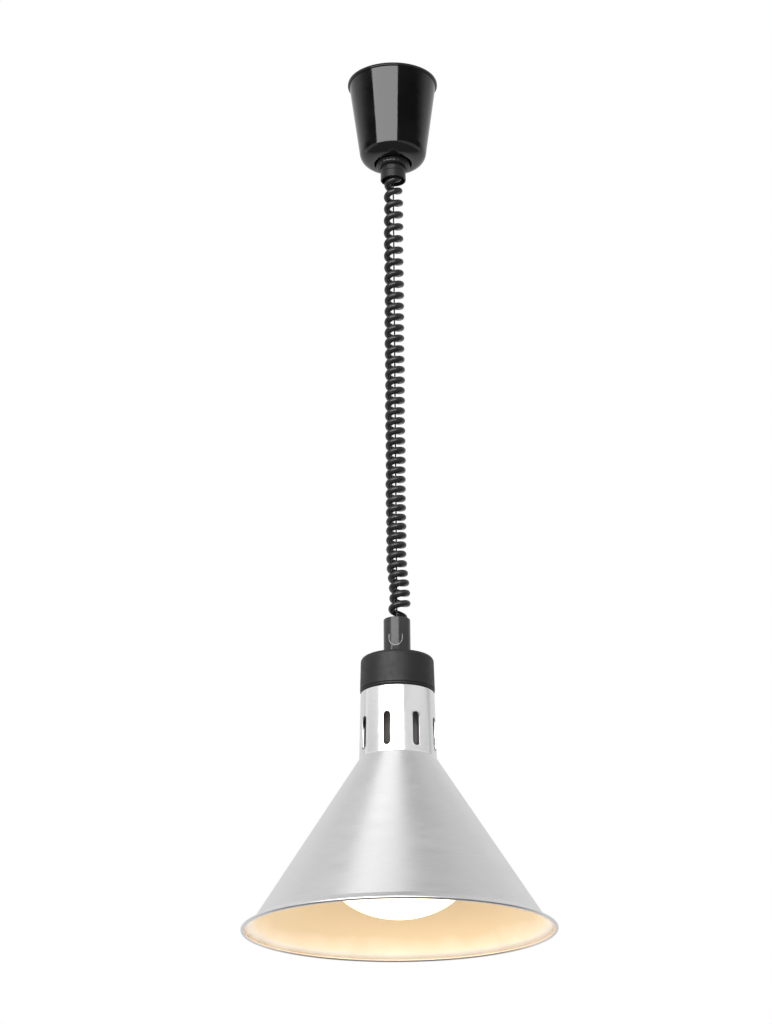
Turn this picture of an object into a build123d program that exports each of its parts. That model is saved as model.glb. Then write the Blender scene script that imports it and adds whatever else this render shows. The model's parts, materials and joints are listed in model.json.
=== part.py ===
"""Rise-and-fall pendant heat lamp.

Millimetres, +Z up. The origin is the centre of the ceiling face, and the lamp hangs below it.
A sprung reel in the ceiling cup pays out a steel wire, the wire carries the lamp head, and a
coiled flex hangs round the wire. The head holds an E27 reflector bulb inside a spun shade.
"""

import os
from math import cos, pi, radians, sin

from build123d import *

os.makedirs("parts", exist_ok=True)

# ---------------------------------------------------------------- driving dimensions
# Levels, measured down from the ceiling
CUP_RIM_Z = -0.6
CUP_BOTTOM_Z = -87.6
PIVOT_Z = -97.5
SLEEVE_END_Z = -105.8
POST_TOP_Z = -548.9
CAP_TOP_Z = -585.5
CAP_END_Z = -613.6
NECK_TOP_Z = -619.2
NECK_BOTTOM_Z = -679.5
CONE_END_Z = -825.5
RIM_Z = -830.7
BULB_FACE_Z = -820.5

# Ceiling bracket: two screw slots on the Y axis, and a hole for the supply cable
BRACKET_R = 36.0
BRACKET_T = 2.0
SCREW_SPACING = 54.0
SCREW_SLOT_LENGTH = 9.0
SCREW_SLOT_R = 2.25
ENTRY_AT = (20.0, 20.0)
ENTRY_R = 5.0
GROMMET_BORE_R = 4.0
GROMMET_FLANGE_R = 6.5

# Ceiling cup
CUP_LIP_R = 43.4
CUP_LIP_HEIGHT = 3.0
CUP_TOP_R = 42.2
CUP_BOTTOM_R = 30.5
CUP_CORNER_R = 12.6
CUP_WALL = 2.2
RECESS_R = 17.4
RECESS_DEPTH = 4.0

# Outlet sleeve, and the collar that screws up it to hold the cup
SLEEVE_R = 12.0
SLEEVE_LIP_R = 12.4
SLEEVE_LIP_Z = -98.0
SLEEVE_TOP_Z = -60.0
SLEEVE_BORE_R = 10.4
SLEEVE_MOUTH_R = 10.8
WEB_T = 3.2
COLLAR_R = 16.2
COLLAR_END_Z = -92.5
BEAD_R = 2.2

# Reel: the wire leaves it straight down the lamp's axis
WIRE_R = 0.7
REEL_WIRE_R = 14.0
REEL_Z = -34.0
REEL_FLANGE_R = 17.0
REEL_FLANGE_T = 1.5
REEL_HALF_WIDTH = 8.5
AXLE_R = 3.0
FRAME_X = (-24.0, 14.0)
FRAME_HALF_WIDTH = 15.5
FRAME_END_Z = -66.0
FRAME_T = 1.5
WOUND_TURNS = 9

# Flex: it goes through the sleeve's web and the post's insert at the same place beside the wire
FLEX_R = 3.0
COIL_R = 9.4
COIL_BORE_R = COIL_R - 2 * FLEX_R
FLEX_X = 6.3

# Lamp head
POST_R = 12.5
POST_FOOT_R = 12.95
POST_BORE_R = 9.6
POST_FLOOR_T = 2.5
CAP_R = 33.4
CAP_FOOT_R = 33.9
CAP_WALL = 2.4
CAP_EDGE_R = 2.8
RING_R = 34.15
NIPPLE_R = 5.0
STRAP_Z = -598.5

# Shade, spun from one sheet
SHEET = 1.2
NECK_TOP_R = 33.0
NECK_BOTTOM_R = 34.5
CONE_END_R = 127.8
RIM_R = 137.6
BEAD_EDGE_R = 1.5
VENT_COUNT = 8
VENT_LENGTH = 30.6
VENT_WIDTH = 6.1
VENT_Z = -658.4
VENT_FIRST_DEG = -16.6

# E27 lampholder and bulb
HOLDER_R = 20.5
HOLDER_STEP_Z = -636.0
HOLDER_END_Z = -668.0
THREAD_PITCH = 3.629
THREAD_CREST_R = 13.1
SHELL_BORE_R = 13.2
BULB_CONTACT_Z = -642.5
BULB_R = 62.5
BULB_DEPTH = 39.0
GLASS_T = 1.2

# Fits
RUNNING = 0.05


def save(part, name):
    """Labels a finished sub-part and writes it as one STEP."""
    part.label = name
    export_step(part, f"parts/{name}.step")


def turned(points):
    """The sketch, in X and Z, of a turned part's half section."""
    with BuildSketch(Plane.XZ) as section:
        with BuildLine():
            Polyline(*points, close=True)
        make_face()
    return section.sketch


def disc(z, radius, bore=0.0, at=(0, 0)):
    """A level disc or ring."""
    with BuildSketch(Plane.XY.offset(z)) as face:
        with Locations(at):
            Circle(radius)
            if bore:
                Circle(bore, mode=Mode.SUBTRACT)
    return face.sketch


def reel_disc(y, radius, bore=0.0):
    """A disc or ring round the reel's axis, facing the front (-Y)."""
    with BuildSketch(Plane.XZ.offset(-y)) as face:
        with Locations((-REEL_WIRE_R, REEL_Z)):
            Circle(radius)
            if bore:
                Circle(bore, mode=Mode.SUBTRACT)
    return face.sketch


def corner_radii(route, share=0.45):
    """The bend at each inner point: share of the shorter run over the tangent of half the turn."""
    points = [Vector(*p) for p in route]
    radii = []
    for a, b, c in zip(points, points[1:], points[2:]):
        half_turn = radians((b - a).get_angle(c - b)) / 2
        shorter = min((b - a).length, (c - b).length)
        radii.append(round(share * shorter * cos(half_turn) / sin(half_turn), 2))
    return radii


def flexible(name, route, radius):
    """A round lead along straight runs joined by tangent arcs."""
    radii = corner_radii(route)
    print(name, "bend radii", radii)
    with BuildPart() as lead:
        with BuildLine() as path:
            FilletPolyline(*route, radius=radii)
        with BuildSketch(Plane(path.line @ 0, z_dir=path.line % 0)):
            Circle(radius)
        sweep()
    save(lead.part, name)


# ---------------------------------------------------------------- ceiling bracket
with BuildPart() as ceiling_bracket:
    extrude(disc(-BRACKET_T, BRACKET_R), amount=BRACKET_T)
    with BuildSketch(Plane.XY.offset(-BRACKET_T)):
        with Locations((0, SCREW_SPACING / 2), (0, -SCREW_SPACING / 2)):
            SlotOverall(SCREW_SLOT_LENGTH, 2 * SCREW_SLOT_R, rotation=90)
        with Locations(ENTRY_AT):
            Circle(ENTRY_R)
    extrude(amount=BRACKET_T, mode=Mode.SUBTRACT)
save(ceiling_bracket.part, "ceiling_bracket")

with BuildPart() as supply_grommet:
    extrude(disc(0, ENTRY_R, at=ENTRY_AT), amount=-BRACKET_T)
    extrude(disc(-BRACKET_T, GROMMET_FLANGE_R, at=ENTRY_AT), amount=-BRACKET_T)
    extrude(disc(0, GROMMET_BORE_R, at=ENTRY_AT), amount=-2 * BRACKET_T, mode=Mode.SUBTRACT)
save(supply_grommet.part, "supply_grommet")

# ---------------------------------------------------------------- ceiling cup
RECESS_Z = CUP_BOTTOM_Z + RECESS_DEPTH
CUP_FLOOR_Z = RECESS_Z + CUP_WALL


def cup_section(inset):
    """The cup's half section, from outside, or from inside when inset is its wall."""
    floor_z = CUP_BOTTOM_Z + inset
    with BuildSketch(Plane.XZ) as section:
        with BuildLine():
            Polyline(
                (0, CUP_RIM_Z),
                (CUP_TOP_R - inset, CUP_RIM_Z),
                (CUP_BOTTOM_R - inset, floor_z),
                (0, floor_z),
                close=True,
            )
        make_face()
        corner = section.vertices().group_by(Axis.Y)[0].sort_by(Axis.X)[-1]
        fillet(corner, CUP_CORNER_R - inset)
    return section.sketch


with BuildPart() as canopy_cup:
    revolve(cup_section(0), axis=Axis.Z)
    revolve(cup_section(CUP_WALL), axis=Axis.Z, mode=Mode.SUBTRACT)
    # the lip round the rim
    extrude(disc(CUP_RIM_Z, CUP_LIP_R, CUP_TOP_R - 1), amount=-CUP_LIP_HEIGHT)
    fillet(canopy_cup.edges().filter_by(GeomType.CIRCLE).group_by(SortBy.RADIUS)[-1], 0.9)
    # the recess round the outlet is raised inside the cup
    extrude(disc(CUP_BOTTOM_Z, RECESS_R + CUP_WALL), amount=RECESS_DEPTH + CUP_WALL)
    extrude(disc(CUP_BOTTOM_Z, RECESS_R), amount=RECESS_DEPTH, mode=Mode.SUBTRACT)
    extrude(disc(RECESS_Z, SLEEVE_R + RUNNING), amount=CUP_WALL, mode=Mode.SUBTRACT)
save(canopy_cup.part, "canopy_cup")

# ---------------------------------------------------------------- outlet sleeve
SLEEVE_FLANGE_R = 18.0
SLEEVE_FLANGE_TOP_Z = CUP_FLOOR_Z + 2.0
WEB_TOP_Z = PIVOT_Z + WEB_T / 2
WEB_END_Z = PIVOT_Z - WEB_T / 2
with BuildPart() as outlet_sleeve:
    revolve(
        turned([
            (0, SLEEVE_TOP_Z),
            (SLEEVE_R, SLEEVE_TOP_Z),
            (SLEEVE_R, SLEEVE_FLANGE_TOP_Z),
            (SLEEVE_FLANGE_R, SLEEVE_FLANGE_TOP_Z),
            (SLEEVE_FLANGE_R, CUP_FLOOR_Z),
            (SLEEVE_R, CUP_FLOOR_Z),
            (SLEEVE_R, SLEEVE_LIP_Z),
            (SLEEVE_LIP_R, SLEEVE_LIP_Z - 1),
            (SLEEVE_LIP_R, SLEEVE_END_Z),
            (0, SLEEVE_END_Z),
        ]),
        axis=Axis.Z,
    )
    fillet(outlet_sleeve.edges().group_by(Axis.Z)[0], 0.7)
    extrude(disc(SLEEVE_TOP_Z, SLEEVE_BORE_R), amount=WEB_TOP_Z - SLEEVE_TOP_Z, mode=Mode.SUBTRACT)
    extrude(disc(SLEEVE_END_Z, SLEEVE_MOUTH_R), amount=WEB_END_Z - SLEEVE_END_Z, mode=Mode.SUBTRACT)
    # the web holds the swivel bead in a round seat, and lets the flex past beside it
    with Locations((0, 0, PIVOT_Z)):
        Sphere(BEAD_R + RUNNING, mode=Mode.SUBTRACT)
    flex_hole = disc(WEB_TOP_Z, FLEX_R + RUNNING, at=(FLEX_X, 0))
    extrude(flex_hole, amount=-WEB_T, mode=Mode.SUBTRACT)
save(outlet_sleeve.part, "outlet_sleeve")

with BuildPart() as locking_collar:
    extrude(disc(RECESS_Z, COLLAR_R, SLEEVE_R + RUNNING), amount=COLLAR_END_Z - RECESS_Z)
    outer_edge = locking_collar.edges().group_by(Axis.Z)[0].sort_by(SortBy.RADIUS)[-1]
    fillet(outer_edge, 2.0)
save(locking_collar.part, "locking_collar")

SLEEVE_NUT_T = 3.0
SLEEVE_NUT_AF = 27.0
with BuildPart() as sleeve_nut:
    with BuildSketch(Plane.XY.offset(FRAME_END_Z + FRAME_T)):
        RegularPolygon(SLEEVE_NUT_AF / 2, 6, major_radius=False)
        Circle(SLEEVE_R, mode=Mode.SUBTRACT)
    extrude(amount=SLEEVE_NUT_T)
save(sleeve_nut.part, "sleeve_nut")

# ---------------------------------------------------------------- reel frame and axle
FRAME_HEIGHT = -BRACKET_T - FRAME_END_Z
RIVET_R = 1.6
RIVET_XS = (-20.0, 10.0)
with BuildPart() as reel_frame:
    # a strip bent into a rectangular loop, open to both ends
    with BuildSketch(Plane.YZ.offset(FRAME_X[0])):
        with Locations((0, FRAME_END_Z + FRAME_HEIGHT / 2)):
            RectangleRounded(2 * FRAME_HALF_WIDTH, FRAME_HEIGHT, 2.5)
            Rectangle(
                2 * FRAME_HALF_WIDTH - 2 * FRAME_T, FRAME_HEIGHT - 2 * FRAME_T, mode=Mode.SUBTRACT
            )
    extrude(amount=FRAME_X[1] - FRAME_X[0])
    extrude(reel_disc(FRAME_HALF_WIDTH, AXLE_R), amount=2 * FRAME_HALF_WIDTH, mode=Mode.SUBTRACT)
    extrude(disc(FRAME_END_Z, SLEEVE_R), amount=FRAME_T, mode=Mode.SUBTRACT)
    for x in RIVET_XS:
        extrude(disc(-BRACKET_T, RIVET_R, at=(x, 0)), amount=-FRAME_T, mode=Mode.SUBTRACT)
save(reel_frame.part, "reel_frame")

with BuildPart() as frame_rivets:
    for x in RIVET_XS:
        extrude(disc(-BRACKET_T, RIVET_R, at=(x, 0)), amount=-FRAME_T)
        extrude(disc(-BRACKET_T - FRAME_T, 1.8 * RIVET_R, at=(x, 0)), amount=-1.2)
save(frame_rivets.part, "frame_rivets")

AXLE_HEAD_R = 4.5
AXLE_HEAD_T = 1.5
with BuildPart() as reel_axle:
    extrude(reel_disc(FRAME_HALF_WIDTH, AXLE_R), amount=2 * FRAME_HALF_WIDTH)
    extrude(reel_disc(FRAME_HALF_WIDTH, AXLE_HEAD_R), amount=-AXLE_HEAD_T)
    extrude(reel_disc(-FRAME_HALF_WIDTH, AXLE_HEAD_R), amount=AXLE_HEAD_T)
save(reel_axle.part, "reel_axle")

SPACER_R = 7.0
SPACER_GAP = 0.1
SPACER_T = FRAME_HALF_WIDTH - FRAME_T - REEL_HALF_WIDTH - SPACER_GAP
for name, y in (
    ("reel_spacer_back", FRAME_HALF_WIDTH - FRAME_T),
    ("reel_spacer_front", -REEL_HALF_WIDTH - SPACER_GAP),
):
    with BuildPart() as spacer:
        extrude(reel_disc(y, SPACER_R, AXLE_R), amount=SPACER_T)
    save(spacer.part, name)

# ---------------------------------------------------------------- reel drum
DRUM_CORE_R = REEL_WIRE_R - WIRE_R
SPRING_HOUSE_R = DRUM_CORE_R - 1.2
HUB_BORE_R = AXLE_R + RUNNING
COVER_Y = REEL_FLANGE_T - REEL_HALF_WIDTH

with BuildPart() as reel_drum:
    extrude(reel_disc(REEL_HALF_WIDTH, REEL_FLANGE_R, HUB_BORE_R), amount=REEL_FLANGE_T)
    extrude(
        reel_disc(REEL_HALF_WIDTH - REEL_FLANGE_T, DRUM_CORE_R, SPRING_HOUSE_R),
        amount=2 * (REEL_HALF_WIDTH - REEL_FLANGE_T),
    )
save(reel_drum.part, "reel_drum")

with BuildPart() as spring_cover:
    extrude(reel_disc(COVER_Y, REEL_FLANGE_R, HUB_BORE_R), amount=REEL_FLANGE_T)
save(spring_cover.part, "spring_cover")

# The mainspring is a clock-type strip, its half turns drawn as arcs whose centres alternate.
# Its last half turn lies on the drum's wall.
SPRING_T = 0.35
SPRING_PITCH = 0.9
SPRING_HALF_TURNS = 15
SPRING_HALF_WIDTH = 5.5
SPRING_START_R = SPRING_HOUSE_R - SPRING_T - (SPRING_HALF_TURNS - 1) * SPRING_PITCH / 2


def half_turn(index, outwards):
    """One half turn of the strip: its start, middle and end."""
    odd = index % 2
    side = -1 if odd else 1
    radius = SPRING_START_R + index * SPRING_PITCH / 2 + outwards
    centre_x = -REEL_WIRE_R + odd * SPRING_PITCH / 2
    return (
        (centre_x + side * radius, REEL_Z),
        (centre_x, REEL_Z + side * radius),
        (centre_x - side * radius, REEL_Z),
    )


with BuildPart() as mainspring:
    with BuildSketch(Plane.XZ.offset(-SPRING_HALF_WIDTH)):
        with BuildLine():
            inner = [ThreePointArc(*half_turn(i, 0)) for i in range(SPRING_HALF_TURNS)]
            outer = [ThreePointArc(*half_turn(i, SPRING_T)) for i in range(SPRING_HALF_TURNS)]
            Line(inner[0] @ 0, outer[0] @ 0)
            Line(inner[-1] @ 1, outer[-1] @ 1)
        make_face()
    extrude(amount=2 * SPRING_HALF_WIDTH)
save(mainspring.part, "mainspring")

# The wire still on the drum: turns side by side, pressed together a little
WINDING_PITCH = 1.3
with BuildPart() as wire_winding:
    for turn in range(WOUND_TURNS):
        y = (turn - (WOUND_TURNS - 1) / 2) * WINDING_PITCH
        with Locations((-REEL_WIRE_R, y, REEL_Z)):
            Torus(REEL_WIRE_R, WIRE_R, rotation=(90, 0, 0))
save(wire_winding.part, "wire_winding")

UPPER_WIRE_TOP_Z = REEL_Z - 6.8
BEAD_BORE_R = WIRE_R + 0.08
with BuildPart() as wire_upper_run:
    extrude(disc(UPPER_WIRE_TOP_Z, WIRE_R), amount=PIVOT_Z + BEAD_R - UPPER_WIRE_TOP_Z)
save(wire_upper_run.part, "wire_upper_run")

with BuildPart() as swivel_bead:
    with Locations((0, 0, PIVOT_Z)):
        Sphere(BEAD_R)
        Cylinder(BEAD_BORE_R, 2 * BEAD_R, mode=Mode.SUBTRACT)
save(swivel_bead.part, "swivel_bead")

# ---------------------------------------------------------------- terminal block and inner flex
BLOCK_X = 22.5
BLOCK_POLES = 3
BLOCK_PITCH = 8.0
BLOCK_POLE_WIDTH = 6.8
BLOCK_DEPTH = 11.0
BLOCK_HEIGHT = 13.0
TUBE_R = 1.9
pole_ys = [(i - (BLOCK_POLES - 1) / 2) * BLOCK_PITCH for i in range(BLOCK_POLES)]
with BuildPart() as terminal_block:
    with BuildSketch(Plane.XY.offset(-BRACKET_T)):
        with Locations(*[(BLOCK_X, y) for y in pole_ys]):
            Rectangle(BLOCK_DEPTH, BLOCK_POLE_WIDTH)
        with Locations((BLOCK_X, 0)):
            Rectangle(BLOCK_DEPTH / 2, (BLOCK_POLES - 1) * BLOCK_PITCH)
    extrude(amount=-BLOCK_HEIGHT)
    with BuildSketch(Plane.XY.offset(-BRACKET_T)):
        with Locations(*[(BLOCK_X, y) for y in pole_ys]):
            Circle(TUBE_R)
    extrude(amount=-BLOCK_HEIGHT, mode=Mode.SUBTRACT)
save(terminal_block.part, "terminal_block")

with BuildPart() as terminal_tubes:
    for y in pole_ys:
        extrude(disc(-BRACKET_T - 1, TUBE_R, TUBE_R - 0.6, at=(BLOCK_X, y)), amount=-BLOCK_HEIGHT + 2)
save(terminal_tubes.part, "terminal_tubes")

FLEX_TOP_Z = -BRACKET_T - BLOCK_HEIGHT
flexible(
    "inner_flex",
    [
        (BLOCK_X, 0, FLEX_TOP_Z),
        (BLOCK_X, 0, -27.0),
        (18.0, 0, -41.0),
        (7.8, 0, -50.5),
        (FLEX_X + 0.2, 0, -65.0),
        (FLEX_X, 0, -80.0),
        (FLEX_X, 0, WEB_END_Z),
    ],
    FLEX_R,
)

# ---------------------------------------------------------------- suspension
INSERT_TOP_Z = POST_TOP_Z - 2.5
INSERT_END_Z = -568.0
FERRULE_END_Z = INSERT_END_Z - 6.0
with BuildPart() as support_wire:
    extrude(disc(PIVOT_Z + BEAD_R, WIRE_R), amount=FERRULE_END_Z - PIVOT_Z - BEAD_R)
save(support_wire.part, "support_wire")

with BuildPart() as spiral_cord:
    extrude(disc(WEB_END_Z, COIL_R, COIL_BORE_R), amount=INSERT_TOP_Z - WEB_END_Z)
save(spiral_cord.part, "spiral_cord")

# ---------------------------------------------------------------- cord grip post
POST_FLOOR_Z = CAP_TOP_Z + POST_FLOOR_T
TONGUE_R = 6.9
TONGUE_TOP_Z = -566.0
TONGUE_END_Z = -577.0
TONGUE_GAP = 0.8
GRIP_SCREW_Z = -560.0
GRIP_SCREW_R = 2.0


def tongue_outline(inset):
    """The tongue's outline from the front: straight sides on a half round."""
    half = TONGUE_R - inset
    arc_z = TONGUE_END_Z + TONGUE_R
    with BuildSketch(Plane.XZ.offset(POST_FOOT_R)) as outline:
        with BuildLine():
            Line((half, arc_z), (half, TONGUE_TOP_Z))
            Line((half, TONGUE_TOP_Z), (-half, TONGUE_TOP_Z))
            Line((-half, TONGUE_TOP_Z), (-half, arc_z))
            ThreePointArc((-half, arc_z), (0, arc_z - half), (half, arc_z))
        make_face()
    return outline.sketch


with BuildPart() as cord_grip_post:
    loft([disc(POST_TOP_Z, POST_R), disc(CAP_TOP_Z, POST_FOOT_R)])
    fillet(cord_grip_post.edges().group_by(Axis.Z)[-1], 0.6)
    extrude(disc(POST_TOP_Z, POST_BORE_R), amount=POST_FLOOR_Z - POST_TOP_Z, mode=Mode.SUBTRACT)
    extrude(disc(CAP_TOP_Z, NIPPLE_R), amount=POST_FLOOR_T, mode=Mode.SUBTRACT)
    # a snap tongue in the front wall, cut free all round but its top
    slit = tongue_outline(0) - tongue_outline(TONGUE_GAP)
    extrude(slit, amount=-POST_FOOT_R / 2, mode=Mode.SUBTRACT)
    # the grip screw's hole in the back wall
    with BuildSketch(Plane.XZ.offset(-POST_FOOT_R)):
        with Locations((0, GRIP_SCREW_Z)):
            Circle(GRIP_SCREW_R)
    extrude(amount=POST_FOOT_R, mode=Mode.SUBTRACT)
save(cord_grip_post.part, "cord_grip_post")

with BuildPart() as grip_insert:
    extrude(disc(INSERT_TOP_Z, POST_BORE_R, WIRE_R + RUNNING), amount=INSERT_END_Z - INSERT_TOP_Z)
    flex_hole = disc(INSERT_TOP_Z, FLEX_R, at=(FLEX_X, 0))
    extrude(flex_hole, amount=INSERT_END_Z - INSERT_TOP_Z, mode=Mode.SUBTRACT)
save(grip_insert.part, "grip_insert")

GRIP_SCREW_LENGTH = 2.6
with BuildPart() as grip_screw:
    with BuildSketch(Plane.XZ.offset(-POST_BORE_R - GRIP_SCREW_LENGTH)):
        with Locations((0, GRIP_SCREW_Z)):
            Circle(GRIP_SCREW_R)
    extrude(amount=GRIP_SCREW_LENGTH)
    with BuildSketch(Plane.XZ.offset(-POST_BORE_R - GRIP_SCREW_LENGTH)):
        with Locations((0, GRIP_SCREW_Z)):
            RegularPolygon(GRIP_SCREW_R / 2, 6)
    extrude(amount=GRIP_SCREW_LENGTH / 2, mode=Mode.SUBTRACT)
save(grip_screw.part, "grip_screw")

with BuildPart() as flex_tail:
    tail = disc(INSERT_TOP_Z, FLEX_R, at=(FLEX_X, 0))
    extrude(tail, amount=INSERT_END_Z - INSERT_TOP_Z)
save(flex_tail.part, "flex_tail")

FERRULE_R = 2.2
with BuildPart() as wire_ferrule:
    extrude(disc(INSERT_END_Z, FERRULE_R, WIRE_R + RUNNING), amount=FERRULE_END_Z - INSERT_END_Z)
save(wire_ferrule.part, "wire_ferrule")

# ---------------------------------------------------------------- cap, ring and fixings
with BuildPart() as socket_cap:
    loft([disc(CAP_TOP_Z, CAP_R), disc(CAP_END_Z, CAP_FOOT_R)])
    fillet(socket_cap.edges().group_by(Axis.Z)[-1], CAP_EDGE_R)
    cavity = disc(CAP_END_Z, CAP_FOOT_R - CAP_WALL)
    extrude(cavity, amount=CAP_TOP_Z - CAP_WALL - CAP_END_Z, mode=Mode.SUBTRACT)
    extrude(disc(CAP_TOP_Z, NIPPLE_R), amount=-CAP_WALL, mode=Mode.SUBTRACT)
save(socket_cap.part, "socket_cap")

RING_STEP_R = 33.2
RING_STEP_T = 0.8
RING_BORE_R = 30.0
with BuildPart() as shade_ring:
    extrude(disc(CAP_END_Z, RING_STEP_R, RING_BORE_R), amount=-RING_STEP_T)
    extrude(
        disc(CAP_END_Z - RING_STEP_T, RING_R, RING_BORE_R),
        amount=NECK_TOP_Z - CAP_END_Z + RING_STEP_T,
    )
    fillet(shade_ring.edges().filter_by(GeomType.CIRCLE).group_by(SortBy.RADIUS)[-1], 0.4)
save(shade_ring.part, "shade_ring")

STRAP_T = 1.5
NIPPLE_BORE_R = 3.7
with BuildPart() as threaded_nipple:
    extrude(disc(POST_FLOOR_Z, NIPPLE_R, NIPPLE_BORE_R), amount=STRAP_Z - STRAP_T - POST_FLOOR_Z)
save(threaded_nipple.part, "threaded_nipple")

NUT_AF = 14.0
NUT_T = 3.0
for name, top in (("cap_nut", CAP_TOP_Z - CAP_WALL), ("strap_nut", STRAP_Z + NUT_T)):
    with BuildPart() as nut:
        with BuildSketch(Plane.XY.offset(top)):
            RegularPolygon(NUT_AF / 2, 6, major_radius=False)
            Circle(NIPPLE_R, mode=Mode.SUBTRACT)
        extrude(amount=-NUT_T)
    save(nut.part, name)

# The strap carries the holder, and its feet pull the shade's top flange up against the ring
STRAP_WIDTH = 14.0
LEG_X = 21.0
FOOT_X = 29.0
FOOT_Z = NECK_TOP_Z - SHEET
HOLDER_SCREW_X = 11.5
HOLDER_SCREW_R = 1.6
with BuildPart() as holder_strap:
    with BuildSketch(Plane.XZ.offset(-STRAP_WIDTH / 2)):
        with BuildLine():
            Polyline(
                (0, STRAP_Z),
                (LEG_X, STRAP_Z),
                (LEG_X, FOOT_Z),
                (FOOT_X, FOOT_Z),
                (FOOT_X, FOOT_Z - STRAP_T),
                (LEG_X - STRAP_T, FOOT_Z - STRAP_T),
                (LEG_X - STRAP_T, STRAP_Z - STRAP_T),
                (0, STRAP_Z - STRAP_T),
                close=True,
            )
        make_face()
        mirror(about=Plane.YZ)
    extrude(amount=STRAP_WIDTH)
    extrude(disc(STRAP_Z, NIPPLE_R), amount=-STRAP_T, mode=Mode.SUBTRACT)
    for x in (-HOLDER_SCREW_X, HOLDER_SCREW_X):
        extrude(disc(STRAP_Z, HOLDER_SCREW_R, at=(x, 0)), amount=-STRAP_T, mode=Mode.SUBTRACT)
save(holder_strap.part, "holder_strap")

# ---------------------------------------------------------------- lampholder
HOLDER_TOP_Z = STRAP_Z - STRAP_T
HOLDER_BASE_R = 17.0
HOLDER_SOCKET_R = 15.0
HOLDER_SHOULDER = 3.0
WELL_R = 7.5
WELL_DEPTH = 8.0
HOLDER_SCREW_LENGTH = 10.0
RIVET_AT = {"contact_rivet": (-4.5, 0), "shell_rivet": (0, 5.5)}
CONTACT_RIVET_R = 1.2
WELL_Z = HOLDER_TOP_Z - WELL_DEPTH
with BuildPart() as lampholder_body:
    revolve(
        turned([
            (0, HOLDER_TOP_Z),
            (HOLDER_BASE_R, HOLDER_TOP_Z),
            (HOLDER_BASE_R, HOLDER_STEP_Z + HOLDER_SHOULDER),
            (HOLDER_R, HOLDER_STEP_Z),
            (HOLDER_R, HOLDER_END_Z),
            (HOLDER_SOCKET_R, HOLDER_END_Z),
            (HOLDER_SOCKET_R, HOLDER_STEP_Z),
            (0, HOLDER_STEP_Z),
        ]),
        axis=Axis.Z,
    )
    fillet(lampholder_body.edges().group_by(Axis.Z)[0], 0.8)
    extrude(disc(HOLDER_TOP_Z, WELL_R), amount=-WELL_DEPTH, mode=Mode.SUBTRACT)
    for at in RIVET_AT.values():
        hole = disc(WELL_Z, CONTACT_RIVET_R, at=at)
        extrude(hole, amount=HOLDER_STEP_Z - WELL_Z, mode=Mode.SUBTRACT)
    for x in (-HOLDER_SCREW_X, HOLDER_SCREW_X):
        hole = disc(HOLDER_TOP_Z, HOLDER_SCREW_R, at=(x, 0))
        extrude(hole, amount=-HOLDER_SCREW_LENGTH, mode=Mode.SUBTRACT)
save(lampholder_body.part, "lampholder_body")

SCREW_HEAD_R = 2.9
SCREW_HEAD_T = 1.8
for name, x in (("holder_screw_left", -HOLDER_SCREW_X), ("holder_screw_right", HOLDER_SCREW_X)):
    with BuildPart() as screw:
        shank_length = STRAP_T + HOLDER_SCREW_LENGTH - 1
        extrude(disc(STRAP_Z, HOLDER_SCREW_R, at=(x, 0)), amount=-shank_length)
        extrude(disc(STRAP_Z, SCREW_HEAD_R, at=(x, 0)), amount=SCREW_HEAD_T)
        with BuildSketch(Plane.XY.offset(STRAP_Z + SCREW_HEAD_T)):
            with Locations((x, 0)):
                Rectangle(2 * SCREW_HEAD_R, 0.8)
        extrude(amount=-SCREW_HEAD_T / 2, mode=Mode.SUBTRACT)
    save(screw.part, name)

for name, at in RIVET_AT.items():
    with BuildPart() as rivet:
        extrude(disc(WELL_Z, CONTACT_RIVET_R, at=at), amount=HOLDER_STEP_Z - WELL_Z)
    save(rivet.part, name)

# The brass shell: a cup whose wall is rolled outwards once per thread pitch
SHELL_R = 14.2
SHELL_FLOOR_T = 0.5
SHELL_END_Z = HOLDER_END_Z + 2.0
SHELL_FLOOR_BORE_R = 7.5
SHELL_ROLLS = 6
SHELL_FIRST_ROLL = 8.0
ROLL_R = 0.6
with BuildPart() as thread_shell:
    extrude(disc(HOLDER_STEP_Z, SHELL_R), amount=SHELL_END_Z - HOLDER_STEP_Z)
    bore = disc(SHELL_END_Z, SHELL_BORE_R)
    extrude(bore, amount=HOLDER_STEP_Z - SHELL_FLOOR_T - SHELL_END_Z, mode=Mode.SUBTRACT)
    extrude(disc(HOLDER_STEP_Z, SHELL_FLOOR_BORE_R), amount=-SHELL_FLOOR_T, mode=Mode.SUBTRACT)
    # a tab of the floor reaches the shell's rivet
    tab_y = RIVET_AT["shell_rivet"][1]
    with BuildSketch(Plane.XY.offset(HOLDER_STEP_Z)):
        with Locations((0, (tab_y + SHELL_FLOOR_BORE_R) / 2)):
            Rectangle(2 * CONTACT_RIVET_R, SHELL_FLOOR_BORE_R - tab_y + 2 * CONTACT_RIVET_R)
    extrude(amount=-SHELL_FLOOR_T)
    for i in range(SHELL_ROLLS):
        roll_z = HOLDER_STEP_Z - SHELL_FIRST_ROLL - i * THREAD_PITCH
        with BuildSketch(Plane.XZ):
            with Locations((SHELL_BORE_R, roll_z)):
                Circle(ROLL_R)
        revolve(axis=Axis.Z, mode=Mode.SUBTRACT)
save(thread_shell.part, "thread_shell")

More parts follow.
